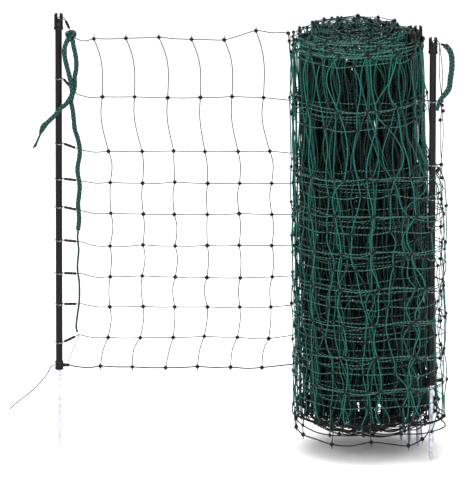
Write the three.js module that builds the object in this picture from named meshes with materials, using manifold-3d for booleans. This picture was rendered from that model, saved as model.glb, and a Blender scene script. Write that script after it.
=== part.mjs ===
// Electric rabbit netting, as it is sold: an end post, an unrolled panel of net with its guy cord,
// and the rest of the net as an upright roll that holds the other posts.
// Millimetres, +Z up, +X along the panel from the end post to the roll, +Y behind the panel.
import * as THREE from 'three';
import { mergeVertices } from 'three/addons/utils/BufferGeometryUtils.js';
import Module from 'manifold-3d';

const wasm = await Module();
wasm.setup();

// Gap between pieces that touch
const FIT = 0.3;

// Post: a plastic rod with a notched head, a foot sleeve and a steel spike
const POST_HEIGHT = 861;
const ROD_RADIUS = 6.55;
const HEAD_RADIUS = 8.5;
const HEAD_LENGTH = 31;
const HEAD_SEAT = 14;
const HEAD_CHAMFER = 1.2;
const FLANGE_REACH = 0.8;
const FLANGE_HEIGHT = 3;
const NOTCH_WIDTH = 3.8;
const NOTCH_EYE_RADIUS = 2.6;
const NOTCH_EYE_DEPTH = 9.5;
const FOOT_BOTTOM = 155;
const FOOT_HEIGHT = 17;
const FOOT_RADIUS = 8.3;
const LUG_REACH = 20;
const LUG_WIDTH = 4;
const LUG_HEIGHT = 8;
const LUG_ROOT = 7.2;
const SPIKE_RADIUS = 3.75;
const SPIKE_SEAT = 30;
const SPIKE_POINT = 9;
const SPIKE_TIP_RADIUS = 1;
const POST_SIDES = 12;
const SPIKE_SIDES = 8;

// Net: lines from the end post to the roll, strands across them and a knot at each crossing
const LINE_RADIUS = 0.9;
const BOTTOM_LINE_RADIUS = 1.25;
const KNOT_REACH = 4.9;
const KNOT_DEPTH = 3.2;
const RING_THICKNESS = 0.8;
const RING_SIDES = 10;
// Size of the plain joint between two straight stretches of a line, in line radii
const JOINT_SHARE = 1.6;
const FIRST_STRAND_X = 99.7;
const STRAND_PITCH = 62.2;
const STRAND_COUNT = 6;
// Where the wire loop through the head's notch closes: out from the head's side, down from the eye
const HOOK_REACH = 4;
const HOOK_DROP = 2;
const HOOK_STAND_OFF = 2;
// The top line's way down from the hook to the net
const TOP_LINE_BEND = [22, 0, 828.5];
const GUY_KNOT_PASS = [24, 0, 818];
const TOP_EDGE = [43, 0, 807];
// How far the knots on the top line lie below the post's top; the line rises near the roll
const TOP_KNOT_DROPS = [50, 49, 47, 51, 52, 34, 39];
const TOP_LINE_SHIFT = -31;
const BOTTOM_LINE_HEIGHT = 159;
const BOTTOM_LINE_SHIFT = -20;
const BOTTOM_EDGE = [35, 0, 160];
// The lines between: height of the loop round the post, place of the bend past the ferrule, height
// along the panel, shift along X
const MIDDLE_LINES = [
  { ring: 733, edge: [36, 0, 701], height: 695, shift: -15 },
  { ring: 604, edge: [44, 0, 590.5], height: 588, shift: -3 },
  { ring: 534, edge: [44, 0, 529.5], height: 526, shift: 0 },
  { ring: 478, edge: [45, 0, 470], height: 464, shift: 0 },
  { ring: 412, edge: [45, 0, 408], height: 401.5, shift: 0 },
  { ring: 346.5, edge: [45, 0, 345], height: 339, shift: 0 },
  { ring: 285, edge: [45, 0, 285], height: 279.5, shift: 0 },
  { ring: 209, edge: [39, 0, 224], height: 218, shift: -5 },
];

// Ferrules crimped on the lines beside the end post
const FERRULE_RADIUS = 2.75;
const FERRULE_LENGTH = 23;
const FERRULE_START = 10.2;
const TOP_FERRULE_LENGTH = 16;
const TOP_FERRULE_START = 3;
const CRIMP_LENGTH = 6;

// Roll: centre and radius at its two ends, its rim below the posts' heads, and its bore
const ROLL_BOTTOM = { x: 592, y: -5, z: 68, radius: 143 };
const RIM_BELOW_HEAD = 10;
const ROLL_TOP = { x: 573, y: -70, z: POST_HEIGHT - HEAD_LENGTH - RIM_BELOW_HEAD, radius: 131 };
const BORE_RADIUS = 45;
const TURN_COUNT = 8;
const TURN_DEPTH = 5;
const ROLL_SIDES = 24;
// How far past the roll's face a line is drawn before it is trimmed there
const LINE_OVERRUN = 3;

// Posts in the roll: offsets from the roll's axis at the floor and at the head
const ROLL_POSTS = [
  { foot: [68, 52], head: [57, 27], lugSide: -1 },
  { foot: [83, 28], head: [104, -18], lugSide: -1 },
  { foot: [100, 5], head: [106, -46], lugSide: -1 },
  { foot: [104, 76], head: [72, 8], lugSide: -1 },
  { foot: [128, 38], head: [118, -2], lugSide: -1 },
];
// The far end post, which stands outside the roll's last turn
const FAR_POST = { foot: [123, -103], head: [147, -113], lugSide: 1 };
const FAR_EDGE_REACH = 17;

// Guy cords, and the ground line's free tail; routes as [x, y, z]
const CORD_RADIUS = 3.75;
const CORD_TIP_RADIUS = 2;
const DOUBLE_CORD_RADIUS = 5.4;
const TAIL_RADIUS = 1;
const CORD_SIDES = 8;
const GUY_KNOT_CENTRE = [23.5, -1, 818.5];
const GUY_KNOT_RADII = [10.5, 8.5, 10.5];
const END_KNOT_RADIUS = 6;
const SHORT_CORD = [
  [18, -6, 812], [12, -13, 797], [12, -17, 780], [16, -18, 761], [21, -18, 741], [25, -18, 720],
  [25, -18, 704], [14, -18, 686], [4, -17, 678], [-4, -16, 667], [-15, -14, 655], [-25, -12, 645],
  [-29, -11, 640],
];
const SHORT_CORD_TIP = [[-29, -11, 640], [-35, -10, 626], [-40, -9, 614], [-46, -8, 601]];
const LONG_CORD = [
  [27, -6, 811], [29, -9, 798], [32, -9, 784], [34, -9, 770], [34, -9, 754], [31, -9, 737],
  [31, -9, 719], [27, -9, 703], [24, -9, 689], [27, -9, 672], [29, -9, 654], [31, -9, 634],
  [36, -9, 618], [40, -9, 599], [40, -9, 581], [36, -9, 554], [40, -9, 524], [39, -9, 504],
  [37, -9, 484], [39, -9, 459], [37, -9, 434],
];
const LONG_CORD_TIP = [
  [37, -9, 434], [36, -9, 418], [38, -9, 394], [36, -9, 370], [36, -9, 352], [39, -9, 329],
  [39, -9, 295], [36, -9, 270], [33, -9, 244], [35, -9, 231],
];
const FAR_CORD = [
  [741, -188, 843], [746, -188, 839], [751, -188, 832], [754, -188, 823], [755, -188, 813],
  [755, -188, 801], [754, -188, 790], [752, -188, 777], [749, -188, 757], [735, -188, 738],
  [730, -187, 728], [727, -186, 714],
];
const GROUND_TAIL = [
  [-8.8, -1, 164], [-15, -4, 162], [-20, -7, 154], [-28, -8, 141], [-52, -9, 115],
  [-77, -10, 95], [-96, -10, 78],
];

// Bottom line of the roll's outer turn, which hangs below the rim: degrees round the roll, height
const HANGING_LINE = [
  [194, 75], [203, 56], [214, 47], [228, 45], [243, 40], [258, 40], [274, 48], [290, 42],
  [304, 35], [318, 42], [326, 54], [331, 74],
];
const HANGING_KNOTS = [2, 4, 6, 8, 9];
const HANGING_REACH = 4;

const UP = new THREE.Vector3(0, 0, 1);

const blackPlastic = new THREE.MeshStandardMaterial({ color: 0x17181a, roughness: 0.38 });
const zincSteel = new THREE.MeshStandardMaterial({ color: 0xc8c6d2, roughness: 0.35, metalness: 0.9 });
const blackFerrule = new THREE.MeshStandardMaterial({ color: 0x101113, roughness: 0.5 });
const netStrand = new THREE.MeshStandardMaterial({ color: 0x2f4a42, roughness: 0.55 });
const rolledNet = new THREE.MeshStandardMaterial({ color: 0x1f6f60, roughness: 0.6 });
const braidedCord = new THREE.MeshStandardMaterial({ color: 0x2d5f5a, roughness: 0.85 });

const vec = ([x, y, z]) => new THREE.Vector3(x, y, z);

// A closed geometry as a solid, from its positions only
function solid(geometry) {
  const bare = geometry.clone();
  for (const name of Object.keys(bare.attributes)) {
    if (name !== 'position') bare.deleteAttribute(name);
  }
  const merged = mergeVertices(bare, 1e-3);
  const index = Array.from(merged.index.array);
  const triangles = [];
  for (let i = 0; i < index.length; i += 3) {
    const [a, b, c] = index.slice(i, i + 3);
    if (a !== b && b !== c && c !== a) triangles.push(a, b, c);
  }
  return new wasm.Manifold(new wasm.Mesh({
    numProp: 3,
    vertProperties: new Float32Array(merged.attributes.position.array),
    triVerts: new Uint32Array(triangles),
  }));
}

// A solid as a geometry
function geometryOf(manifold) {
  const mesh = manifold.getMesh();
  const geometry = new THREE.BufferGeometry();
  geometry.setAttribute('position', new THREE.BufferAttribute(new Float32Array(mesh.vertProperties), 3));
  geometry.setIndex(new THREE.BufferAttribute(new Uint32Array(mesh.triVerts), 1));
  geometry.computeVertexNormals();
  return geometry;
}

const fuse = (geometries) => wasm.Manifold.union(geometries.map(solid));

// A profile of [radius, height] pairs turned round the Z axis
function turned(profile, sides) {
  const points = profile.map(([radius, height]) => new THREE.Vector2(radius, height));
  return new THREE.LatheGeometry(points, sides).rotateX(Math.PI / 2);
}

// A straight round bar between two points
function bar(from, to, radius, sides = 4) {
  const along = to.clone().sub(from);
  const geometry = new THREE.CylinderGeometry(radius, radius, along.length(), sides, 1);
  geometry.rotateX(Math.PI / 2);
  geometry.applyQuaternion(new THREE.Quaternion().setFromUnitVectors(UP, along.clone().normalize()));
  const middle = from.clone().add(to).multiplyScalar(0.5);
  return geometry.translate(middle.x, middle.y, middle.z);
}

// Bars end to end through a list of points
function polyline(points, radius, sides) {
  return points.slice(1).map((point, i) => bar(points[i], point, radius, sides));
}

// A cord along a smooth curve through its points
function cord(points, radius, sides, stepsPerPoint) {
  const section = new THREE.Shape();
  for (let i = 0; i < sides; i += 1) {
    const angle = (2 * Math.PI * i) / sides;
    const [x, y] = [radius * Math.cos(angle), radius * Math.sin(angle)];
    if (i === 0) section.moveTo(x, y);
    else section.lineTo(x, y);
  }
  section.closePath();
  const extrudePath = new THREE.CatmullRomCurve3(points.map(vec));
  const steps = Math.round((points.length - 1) * stepsPerPoint);
  return new THREE.ExtrudeGeometry(section, { steps, extrudePath, bevelEnabled: false });
}

// A flattened diamond-shaped moulded knot
function knot(at) {
  return new THREE.OctahedronGeometry(KNOT_REACH)
    .scale(1, KNOT_DEPTH / KNOT_REACH, 1)
    .translate(at.x, at.y, at.z);
}

// A plain joint where a line bends
function joint(at, radius) {
  return new THREE.OctahedronGeometry(JOINT_SHARE * radius).translate(at.x, at.y, at.z);
}

// A line's loop round a post, level in the post's own frame
function loopRound(height) {
  const inner = (ROD_RADIUS + FIT) / Math.cos(Math.PI / RING_SIDES);
  const middle = inner + RING_THICKNESS;
  return turned([
    [inner, height], [middle, height - RING_THICKNESS], [middle + RING_THICKNESS, height],
    [middle, height + RING_THICKNESS], [inner, height],
  ], RING_SIDES);
}
const LOOP_RADIUS = (ROD_RADIUS + FIT) / Math.cos(Math.PI / RING_SIDES) + RING_THICKNESS;

function named(name, geometry, material) {
  const mesh = new THREE.Mesh(geometry, material);
  mesh.name = name;
  return mesh;
}

// Post

const HEAD_BOTTOM = POST_HEIGHT - HEAD_LENGTH;
const ROD_TOP = HEAD_BOTTOM + HEAD_SEAT;
const SPIKE_TOP = FOOT_BOTTOM + SPIKE_SEAT;

function rodGeometry() {
  const bore = SPIKE_RADIUS + FIT;
  return turned([
    [0, SPIKE_TOP + FIT], [bore, SPIKE_TOP + FIT], [bore, FOOT_BOTTOM], [ROD_RADIUS, FOOT_BOTTOM],
    [ROD_RADIUS, ROD_TOP], [0, ROD_TOP],
  ], POST_SIDES);
}

function headGeometry() {
  const seat = ROD_RADIUS + FIT;
  const flange = HEAD_RADIUS + FLANGE_REACH;
  const body = turned([
    [0, ROD_TOP + FIT], [seat, ROD_TOP + FIT], [seat, HEAD_BOTTOM], [flange, HEAD_BOTTOM],
    [flange, HEAD_BOTTOM + FLANGE_HEIGHT], [HEAD_RADIUS, HEAD_BOTTOM + FLANGE_HEIGHT + FLANGE_REACH],
    [HEAD_RADIUS, POST_HEIGHT - HEAD_CHAMFER], [HEAD_RADIUS - HEAD_CHAMFER, POST_HEIGHT],
    [0, POST_HEIGHT],
  ], POST_SIDES);
  // Keyhole outline in the X-Z plane: a slot from the top into a round eye
  const eye = POST_HEIGHT - NOTCH_EYE_DEPTH;
  const half = NOTCH_WIDTH / 2;
  const open = Math.asin(half / NOTCH_EYE_RADIUS);
  const outline = new THREE.Shape();
  outline.moveTo(-half, POST_HEIGHT + HEAD_RADIUS);
  outline.absarc(0, eye, NOTCH_EYE_RADIUS, Math.PI / 2 + open, Math.PI / 2 - open + 2 * Math.PI, false);
  outline.lineTo(half, POST_HEIGHT + HEAD_RADIUS);
  outline.closePath();
  const depth = 4 * HEAD_RADIUS;
  const notch = new THREE.ExtrudeGeometry(outline, { depth, bevelEnabled: false, curveSegments: 8 });
  notch.rotateX(Math.PI / 2).translate(0, depth / 2, 0);
  return geometryOf(solid(body).subtract(solid(notch)));
}

function lugBox(lugSide, gap) {
  const length = LUG_REACH - LUG_ROOT + gap;
  const lug = new THREE.BoxGeometry(length, LUG_WIDTH + 2 * gap, LUG_HEIGHT + 2 * gap);
  return lug.translate(lugSide * (LUG_ROOT + length / 2), 0, FOOT_BOTTOM + FOOT_HEIGHT / 2);
}

function footGeometry(lugSide) {
  const inner = ROD_RADIUS + FIT;
  const top = FOOT_BOTTOM + FOOT_HEIGHT;
  const sleeve = turned([
    [inner, FOOT_BOTTOM], [FOOT_RADIUS, FOOT_BOTTOM], [FOOT_RADIUS, top], [inner, top],
    [inner, FOOT_BOTTOM],
  ], POST_SIDES);
  return geometryOf(fuse([sleeve, lugBox(lugSide, 0)]));
}

function spikeGeometry() {
  return turned([
    [0, 0], [SPIKE_TIP_RADIUS, 0], [SPIKE_RADIUS, SPIKE_POINT], [SPIKE_RADIUS, SPIKE_TOP],
    [0, SPIKE_TOP],
  ], SPIKE_SIDES);
}

// The room that a post takes in the roll, in the post's own frame
function postClearance(lugSide) {
  const spike = SPIKE_RADIUS + FIT;
  const foot = FOOT_RADIUS + FIT;
  const rod = ROD_RADIUS + FIT;
  const footTop = FOOT_BOTTOM + FOOT_HEIGHT + FIT;
  const head = HEAD_RADIUS + FLANGE_REACH + FIT;
  const room = turned([
    [0, -POST_HEIGHT], [spike, -POST_HEIGHT], [spike, FOOT_BOTTOM - FIT], [foot, FOOT_BOTTOM - FIT],
    [foot, footTop], [rod, footTop], [rod, HEAD_BOTTOM - FIT], [head, HEAD_BOTTOM - FIT],
    [head, 2 * POST_HEIGHT], [0, 2 * POST_HEIGHT],
  ], POST_SIDES);
  return [room, lugBox(lugSide, FIT)];
}

function post(name, lugSide) {
  const group = new THREE.Group();
  group.add(
    named(`${name}_rod`, rodGeometry(), blackPlastic),
    named(`${name}_head`, headGeometry(), blackPlastic),
    named(`${name}_foot`, footGeometry(lugSide), blackPlastic),
    named(`${name}_spike`, spikeGeometry(), zincSteel),
  );
  return group;
}

// Roll

// Centre and radius of the roll at a height
function rollAt(z) {
  const share = (z - ROLL_BOTTOM.z) / (ROLL_TOP.z - ROLL_BOTTOM.z);
  return {
    x: THREE.MathUtils.lerp(ROLL_BOTTOM.x, ROLL_TOP.x, share),
    y: THREE.MathUtils.lerp(ROLL_BOTTOM.y, ROLL_TOP.y, share),
    radius: THREE.MathUtils.lerp(ROLL_BOTTOM.radius, ROLL_TOP.radius, share),
  };
}

// Where a point of the panel's plane at a height meets the roll
function rollEdgeX(z) {
  const { x, y, radius } = rollAt(Math.min(z, ROLL_TOP.z));
  return x - Math.sqrt(radius * radius - y * y);
}

// Sets a post's group on its spike, leaning as it does between the roll's turns
function standInRoll(group, { foot, head }) {
  const low = rollAt(0);
  const high = rollAt(POST_HEIGHT);
  const tip = new THREE.Vector3(low.x + foot[0], low.y + foot[1], 0);
  const top = new THREE.Vector3(high.x + head[0], high.y + head[1], POST_HEIGHT);
  const along = top.sub(tip).normalize();
  group.quaternion.setFromUnitVectors(UP, along);
  group.position.copy(tip);
  group.position.z = SPIKE_TIP_RADIUS * Math.hypot(along.x, along.y);
  group.updateMatrixWorld(true);
  return group;
}

// One end of the roll's profile, from the bore outwards, with a groove between each two turns
function endProfile(height, groove, outer) {
  const pitch = (outer - BORE_RADIUS) / TURN_COUNT;
  const points = [];
  for (let turn = 0; turn < TURN_COUNT; turn += 1) {
    points.push([BORE_RADIUS + turn * pitch, height + groove]);
    points.push([BORE_RADIUS + (turn + 0.5) * pitch, height]);
  }
  points.push([outer, height + groove]);
  return points;
}

// Slides each level of an upright turned shape sideways onto the roll's leaning axis
function leanWithRoll(geometry) {
  const rise = ROLL_TOP.z - ROLL_BOTTOM.z;
  const leanX = (ROLL_TOP.x - ROLL_BOTTOM.x) / rise;
  const leanY = (ROLL_TOP.y - ROLL_BOTTOM.y) / rise;
  return geometry.applyMatrix4(new THREE.Matrix4().set(
    1, 0, leanX, ROLL_BOTTOM.x - leanX * ROLL_BOTTOM.z,
    0, 1, leanY, ROLL_BOTTOM.y - leanY * ROLL_BOTTOM.z,
    0, 0, 1, 0,
    0, 0, 0, 1,
  ));
}

// Pieces fused into one and trimmed just clear of the roll
function trimmedAtRoll(pieces) {
  const gap = FIT / Math.cos(Math.PI / ROLL_SIDES);
  const room = leanWithRoll(turned([
    [0, ROLL_BOTTOM.z - FIT], [ROLL_BOTTOM.radius + gap, ROLL_BOTTOM.z - FIT],
    [ROLL_TOP.radius + gap, ROLL_TOP.z + FIT], [0, ROLL_TOP.z + FIT],
  ], ROLL_SIDES));
  return geometryOf(fuse(pieces).subtract(solid(room)));
}

function rollGeometry(postsInRoll) {
  const low = endProfile(ROLL_BOTTOM.z, TURN_DEPTH, ROLL_BOTTOM.radius);
  const high = endProfile(ROLL_TOP.z, -TURN_DEPTH, ROLL_TOP.radius).reverse();
  const ring = leanWithRoll(turned([...low, ...high, low[0]], ROLL_SIDES));
  const rooms = postsInRoll.flatMap(({ group, lugSide }) => (
    postClearance(lugSide).map((room) => room.applyMatrix4(group.matrixWorld))
  ));
  return geometryOf(solid(ring).subtract(fuse(rooms)));
}

// Net panel

const strandX = (column, shift) => FIRST_STRAND_X + column * STRAND_PITCH + shift;

// The points of one line, from the bend past its ferrule to the roll
function linePoints({ edge, height, shift }) {
  const points = [vec(edge)];
  for (let column = 0; column < STRAND_COUNT; column += 1) {
    points.push(new THREE.Vector3(strandX(column, shift), 0, height));
  }
  return points;
}

const topLine = [
  vec(TOP_EDGE),
  ...TOP_KNOT_DROPS.map((drop, column) => (
    new THREE.Vector3(strandX(column, TOP_LINE_SHIFT), 0, POST_HEIGHT - drop)
  )),
];
const middleLines = MIDDLE_LINES.map(linePoints);
const lugEnd = new THREE.Vector3(LUG_REACH + FIT, 0, FOOT_BOTTOM + FOOT_HEIGHT / 2);
const bottomLine = linePoints({ edge: BOTTOM_EDGE, height: BOTTOM_LINE_HEIGHT, shift: BOTTOM_LINE_SHIFT });

// Ends a line at the roll
function toRoll(last) {
  const z = Math.min(last.z, ROLL_TOP.z - 2 * TURN_DEPTH);
  return new THREE.Vector3(rollEdgeX(z) + LINE_OVERRUN, 0, z);
}

// A wire loop through a head's notch and round its jaw, ending beside the head
const HOOK_END = new THREE.Vector3(
  HEAD_RADIUS + HOOK_REACH, 0, POST_HEIGHT - NOTCH_EYE_DEPTH - HOOK_DROP,
);
function hookLoop() {
  const eye = POST_HEIGHT - NOTCH_EYE_DEPTH;
  const out = HEAD_RADIUS + HOOK_STAND_OFF;
  const points = [
    HOOK_END, new THREE.Vector3(HEAD_RADIUS, -out, eye), new THREE.Vector3(0, -out, eye),
    new THREE.Vector3(0, out, eye), new THREE.Vector3(HEAD_RADIUS, out, eye), HOOK_END,
  ];
  return [
    ...polyline(points, LINE_RADIUS, 4),
    ...points.slice(1).map((point) => joint(point, LINE_RADIUS)),
  ];
}

// The top line from the head's hook through its ferrule and the guy knot
const topLineLead = [HOOK_END, vec(TOP_LINE_BEND), vec(GUY_KNOT_PASS), topLine[0]];

function panelGeometry() {
  const pieces = [
    ...hookLoop(),
    ...polyline(topLineLead, LINE_RADIUS, 4),
    ...topLineLead.slice(1, 3).map((point) => joint(point, LINE_RADIUS)),
  ];
  const rows = [topLine, ...middleLines, bottomLine];
  for (const row of rows) {
    const radius = row === bottomLine ? BOTTOM_LINE_RADIUS : LINE_RADIUS;
    pieces.push(...polyline([...row, toRoll(row.at(-1))], radius, 4));
    pieces.push(joint(row[0], radius), ...row.slice(1).map(knot));
  }
  for (let row = 1; row < rows.length; row += 1) {
    for (let strand = 1; strand <= STRAND_COUNT; strand += 1) {
      pieces.push(bar(rows[row - 1][strand], rows[row][strand], LINE_RADIUS));
    }
  }
  // The short edge strand from the lowest ferrule down to the lug
  pieces.push(bar(middleLines.at(-1)[0], bottomLine[0], LINE_RADIUS));
  middleLines.forEach((row, i) => {
    const { ring } = MIDDLE_LINES[i];
    pieces.push(loopRound(ring), bar(new THREE.Vector3(LOOP_RADIUS, 0, ring), row[0], LINE_RADIUS));
  });
  pieces.push(bar(lugEnd, bottomLine[0], BOTTOM_LINE_RADIUS));
  return trimmedAtRoll(pieces);
}

// A ferrule round the straight line from one point towards another
function ferrule(name, from, to, start, length) {
  const bore = LINE_RADIUS + FIT;
  const tube = turned([
    [bore, start], [FERRULE_RADIUS, start], [FERRULE_RADIUS, start + length], [bore, start + length],
    [bore, start],
  ], 8);
  const mesh = named(name, tube, blackFerrule);
  mesh.position.copy(from);
  mesh.quaternion.setFromUnitVectors(UP, to.clone().sub(from).normalize());
  return mesh;
}

function panel() {
  const group = new THREE.Group();
  group.add(named('net_panel', panelGeometry(), netStrand));
  group.add(ferrule('top_ferrule', HOOK_END, topLineLead[1], TOP_FERRULE_START, TOP_FERRULE_LENGTH));
  middleLines.forEach((row, i) => {
    const loopSide = new THREE.Vector3(LOOP_RADIUS, 0, MIDDLE_LINES[i].ring);
    const start = FERRULE_START - LOOP_RADIUS;
    group.add(ferrule(`line_ferrule_${i + 1}`, loopSide, row[0], start, FERRULE_LENGTH));
  });
  return group;
}

// Guy cords

const ball = (at, radius) => new THREE.IcosahedronGeometry(radius, 1).translate(...at);

function shortCord(extra) {
  return [
    cord(SHORT_CORD, CORD_RADIUS + extra, CORD_SIDES, 1.5),
    cord(SHORT_CORD_TIP, CORD_TIP_RADIUS + extra, CORD_SIDES, 2),
    ball(SHORT_CORD_TIP[0], END_KNOT_RADIUS + extra),
  ];
}

function longCord(extra) {
  return [
    cord(LONG_CORD, CORD_RADIUS + extra, CORD_SIDES, 1.25),
    cord(LONG_CORD_TIP, CORD_TIP_RADIUS + extra, CORD_SIDES, 1.5),
  ];
}

// The guy knot, with room for the line and for the two cord ends in it
function guyKnotGeometry() {
  const lump = new THREE.SphereGeometry(1, 10, 6).rotateX(Math.PI / 2);
  lump.scale(...GUY_KNOT_RADII).translate(...GUY_KNOT_CENTRE);
  const rooms = [
    ...polyline(topLineLead, LINE_RADIUS + 3 * FIT, 8),
    ...topLineLead.slice(1, 3).map((point) => ball(point.toArray(), JOINT_SHARE * LINE_RADIUS + 3 * FIT)),
    ...shortCord(2 * FIT),
    ...longCord(2 * FIT),
    ball(SHORT_CORD[0], CORD_RADIUS + 2 * FIT),
    ball(LONG_CORD[0], CORD_RADIUS + 2 * FIT),
  ];
  return geometryOf(solid(lump).subtract(fuse(rooms)));
}

function guyCords() {
  const group = new THREE.Group();
  group.add(
    named('guy_knot', guyKnotGeometry(), braidedCord),
    named('guy_cord_short', geometryOf(fuse(shortCord(0))), braidedCord),
    named('guy_cord_long', geometryOf(fuse(longCord(0))), braidedCord),
    named('ground_line_tail', cord(GROUND_TAIL, TAIL_RADIUS, CORD_SIDES, 4), blackFerrule),
  );
  return group;
}

// The net's far end, tied round the last post

function farEnd(postGroup) {
  const group = new THREE.Group();
  const place = (point) => point.clone().applyMatrix4(postGroup.matrixWorld);
  const pieces = hookLoop().map((piece) => piece.applyMatrix4(postGroup.matrixWorld));
  const cordStart = vec(FAR_CORD[0]);
  const cordRun = vec(FAR_CORD[1]).sub(cordStart).normalize();
  const leadStart = place(HOOK_END);
  const leadEnd = cordStart.clone().addScaledVector(cordRun, -FIT);
  pieces.push(bar(leadStart, leadEnd, LINE_RADIUS));
  const edge = MIDDLE_LINES.map(({ ring }) => place(new THREE.Vector3(FAR_EDGE_REACH, 0, ring)));
  pieces.push(...polyline([leadStart, ...edge], LINE_RADIUS, 4), ...edge.map(knot));
  MIDDLE_LINES.forEach(({ ring }, i) => {
    pieces.push(loopRound(ring).applyMatrix4(postGroup.matrixWorld));
    pieces.push(bar(place(new THREE.Vector3(LOOP_RADIUS, 0, ring)), edge[i], LINE_RADIUS));
    const centre = place(new THREE.Vector3(0, 0, ring));
    const { x, y, radius } = rollAt(centre.z);
    const outwards = new THREE.Vector3(centre.x - x, centre.y - y, 0).normalize();
    const onRoll = new THREE.Vector3(x, y, centre.z).addScaledVector(outwards, radius - LINE_OVERRUN);
    pieces.push(bar(centre.clone().addScaledVector(outwards, -LOOP_RADIUS), onRoll, LINE_RADIUS));
  });
  group.add(named('far_net_end', trimmedAtRoll(pieces), netStrand));
  const crimpStart = leadStart.distanceTo(leadEnd) - CRIMP_LENGTH - 4 * FIT;
  group.add(ferrule('far_cord_crimp', leadStart, leadEnd, crimpStart, CRIMP_LENGTH));
  group.add(named('far_guy_cord', cord(FAR_CORD, DOUBLE_CORD_RADIUS, CORD_SIDES, 2), braidedCord));
  return group;
}

// The outer turn's bottom line, hanging round the front of the roll below its rim
function hangingLineGeometry() {
  const round = (degrees, z, reach) => {
    const { x, y, radius } = rollAt(Math.max(z, ROLL_BOTTOM.z));
    const angle = THREE.MathUtils.degToRad(degrees);
    return new THREE.Vector3(
      x + (radius + reach) * Math.cos(angle), y + (radius + reach) * Math.sin(angle), z,
    );
  };
  const ends = [0, HANGING_LINE.length - 1];
  const points = HANGING_LINE.map(([degrees, z], i) => (
    round(degrees, z, ends.includes(i) ? -LINE_OVERRUN : HANGING_REACH)
  ));
  const pieces = [
    ...polyline(points, BOTTOM_LINE_RADIUS, 4),
    ...points.slice(1, -1).map((point) => joint(point, BOTTOM_LINE_RADIUS)),
  ];
  for (const i of HANGING_KNOTS) {
    const rim = round(HANGING_LINE[i][0], ROLL_BOTTOM.z + 2 * TURN_DEPTH, -LINE_OVERRUN);
    pieces.push(knot(points[i]), bar(points[i], rim, LINE_RADIUS));
  }
  return trimmedAtRoll(pieces);
}

// Assembly

const netting = new THREE.Group();
netting.add(post('end_post', 1), panel(), guyCords());

const postsInRoll = ROLL_POSTS.map((place, i) => {
  const group = standInRoll(post(`roll_post_${i + 1}`, place.lugSide), place);
  return { group, lugSide: place.lugSide };
});
const farPost = standInRoll(post('far_end_post', FAR_POST.lugSide), FAR_POST);
netting.add(...postsInRoll.map(({ group }) => group), farPost, farEnd(farPost));
netting.add(named('net_roll', rollGeometry(postsInRoll), rolledNet));
netting.add(named('hanging_bottom_line', hangingLineGeometry(), blackFerrule));

// The origin is the middle of the box round everything but the free cords, on the floor
const CORD_NAMES = ['guy_knot', 'guy_cord_short', 'guy_cord_long', 'ground_line_tail', 'far_guy_cord'];
netting.updateMatrixWorld(true);
const extent = new THREE.Box3();
netting.traverse((child) => {
  if (child.isMesh && !CORD_NAMES.includes(child.name)) extent.expandByObject(child, true);
});
netting.position.set(-(extent.min.x + extent.max.x) / 2, -(extent.min.y + extent.max.y) / 2, -extent.min.z);

export default netting;
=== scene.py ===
"""Electric rabbit netting: end post, unrolled panel of net and upright roll, dressed for a photograph.

Sizes are in millimetres, measured from the end post's axis at the floor, and turned into metres in the
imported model's frame as each mesh is made.
"""
import logging
from dataclasses import dataclass, field
from enum import Enum
from typing import Sequence

import bpy
import numpy as np
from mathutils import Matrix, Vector


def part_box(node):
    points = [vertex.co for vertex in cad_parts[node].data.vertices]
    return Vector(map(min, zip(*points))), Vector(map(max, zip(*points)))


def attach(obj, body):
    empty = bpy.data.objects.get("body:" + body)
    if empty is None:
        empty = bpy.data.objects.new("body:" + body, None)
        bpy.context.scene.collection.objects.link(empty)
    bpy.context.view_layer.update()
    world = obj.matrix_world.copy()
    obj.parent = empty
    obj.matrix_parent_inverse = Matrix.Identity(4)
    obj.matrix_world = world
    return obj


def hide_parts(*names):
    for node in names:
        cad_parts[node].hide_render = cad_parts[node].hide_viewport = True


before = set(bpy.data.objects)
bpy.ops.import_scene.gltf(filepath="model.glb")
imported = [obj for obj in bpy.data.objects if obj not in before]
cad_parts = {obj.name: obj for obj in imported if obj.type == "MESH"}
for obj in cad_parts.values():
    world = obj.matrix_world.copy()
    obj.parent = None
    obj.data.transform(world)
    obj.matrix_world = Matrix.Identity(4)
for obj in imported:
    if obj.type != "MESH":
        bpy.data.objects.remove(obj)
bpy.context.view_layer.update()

LOG = logging.getLogger("rabbit_netting")
MM = 0.001
BODY = "root"
UP = np.array([0.0, 0.0, 1.0])
DEPTH = np.array([0.0, 1.0, 0.0])

# Frame shared with the solids


def post_axis() -> np.ndarray:
    """The end post's axis on the floor, in metres: the middle of its rod's box."""
    low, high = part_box("end_post_rod")
    return np.array([(low[0] + high[0]) / 2, (low[1] + high[1]) / 2, 0.0])


ORIGIN = post_axis()


def mix(low: np.ndarray, high: np.ndarray, share: np.ndarray) -> np.ndarray:
    """Straight mix: low where share is 0 and high where it is 1."""
    return low + (high - low) * share


@dataclass(frozen=True)
class RollForm:
    """The roll's leaning axis and outer radius, as in the solid."""

    bottom: tuple[float, float, float] = (592.0, -5.0, 68.0)
    top: tuple[float, float, float] = (573.0, -70.0, 820.0)
    bottom_radius: float = 143.0
    top_radius: float = 131.0

    def share(self, z: np.ndarray) -> np.ndarray:
        """How far up the roll a height is, from 0 at the bottom rim to 1 at the top rim."""
        return (np.asarray(z) - self.bottom[2]) / (self.top[2] - self.bottom[2])

    def centre(self, z: np.ndarray) -> np.ndarray:
        """Centre of the roll at each height, as points of three coordinates."""
        low, high = np.array(self.bottom), np.array(self.top)
        return mix(low, high, self.share(z)[..., None])

    def radius(self, z: np.ndarray) -> np.ndarray:
        """Outer radius of the roll at each height."""
        return mix(self.bottom_radius, self.top_radius, self.share(z))


ROLL = RollForm()

# Surfaces


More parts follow.
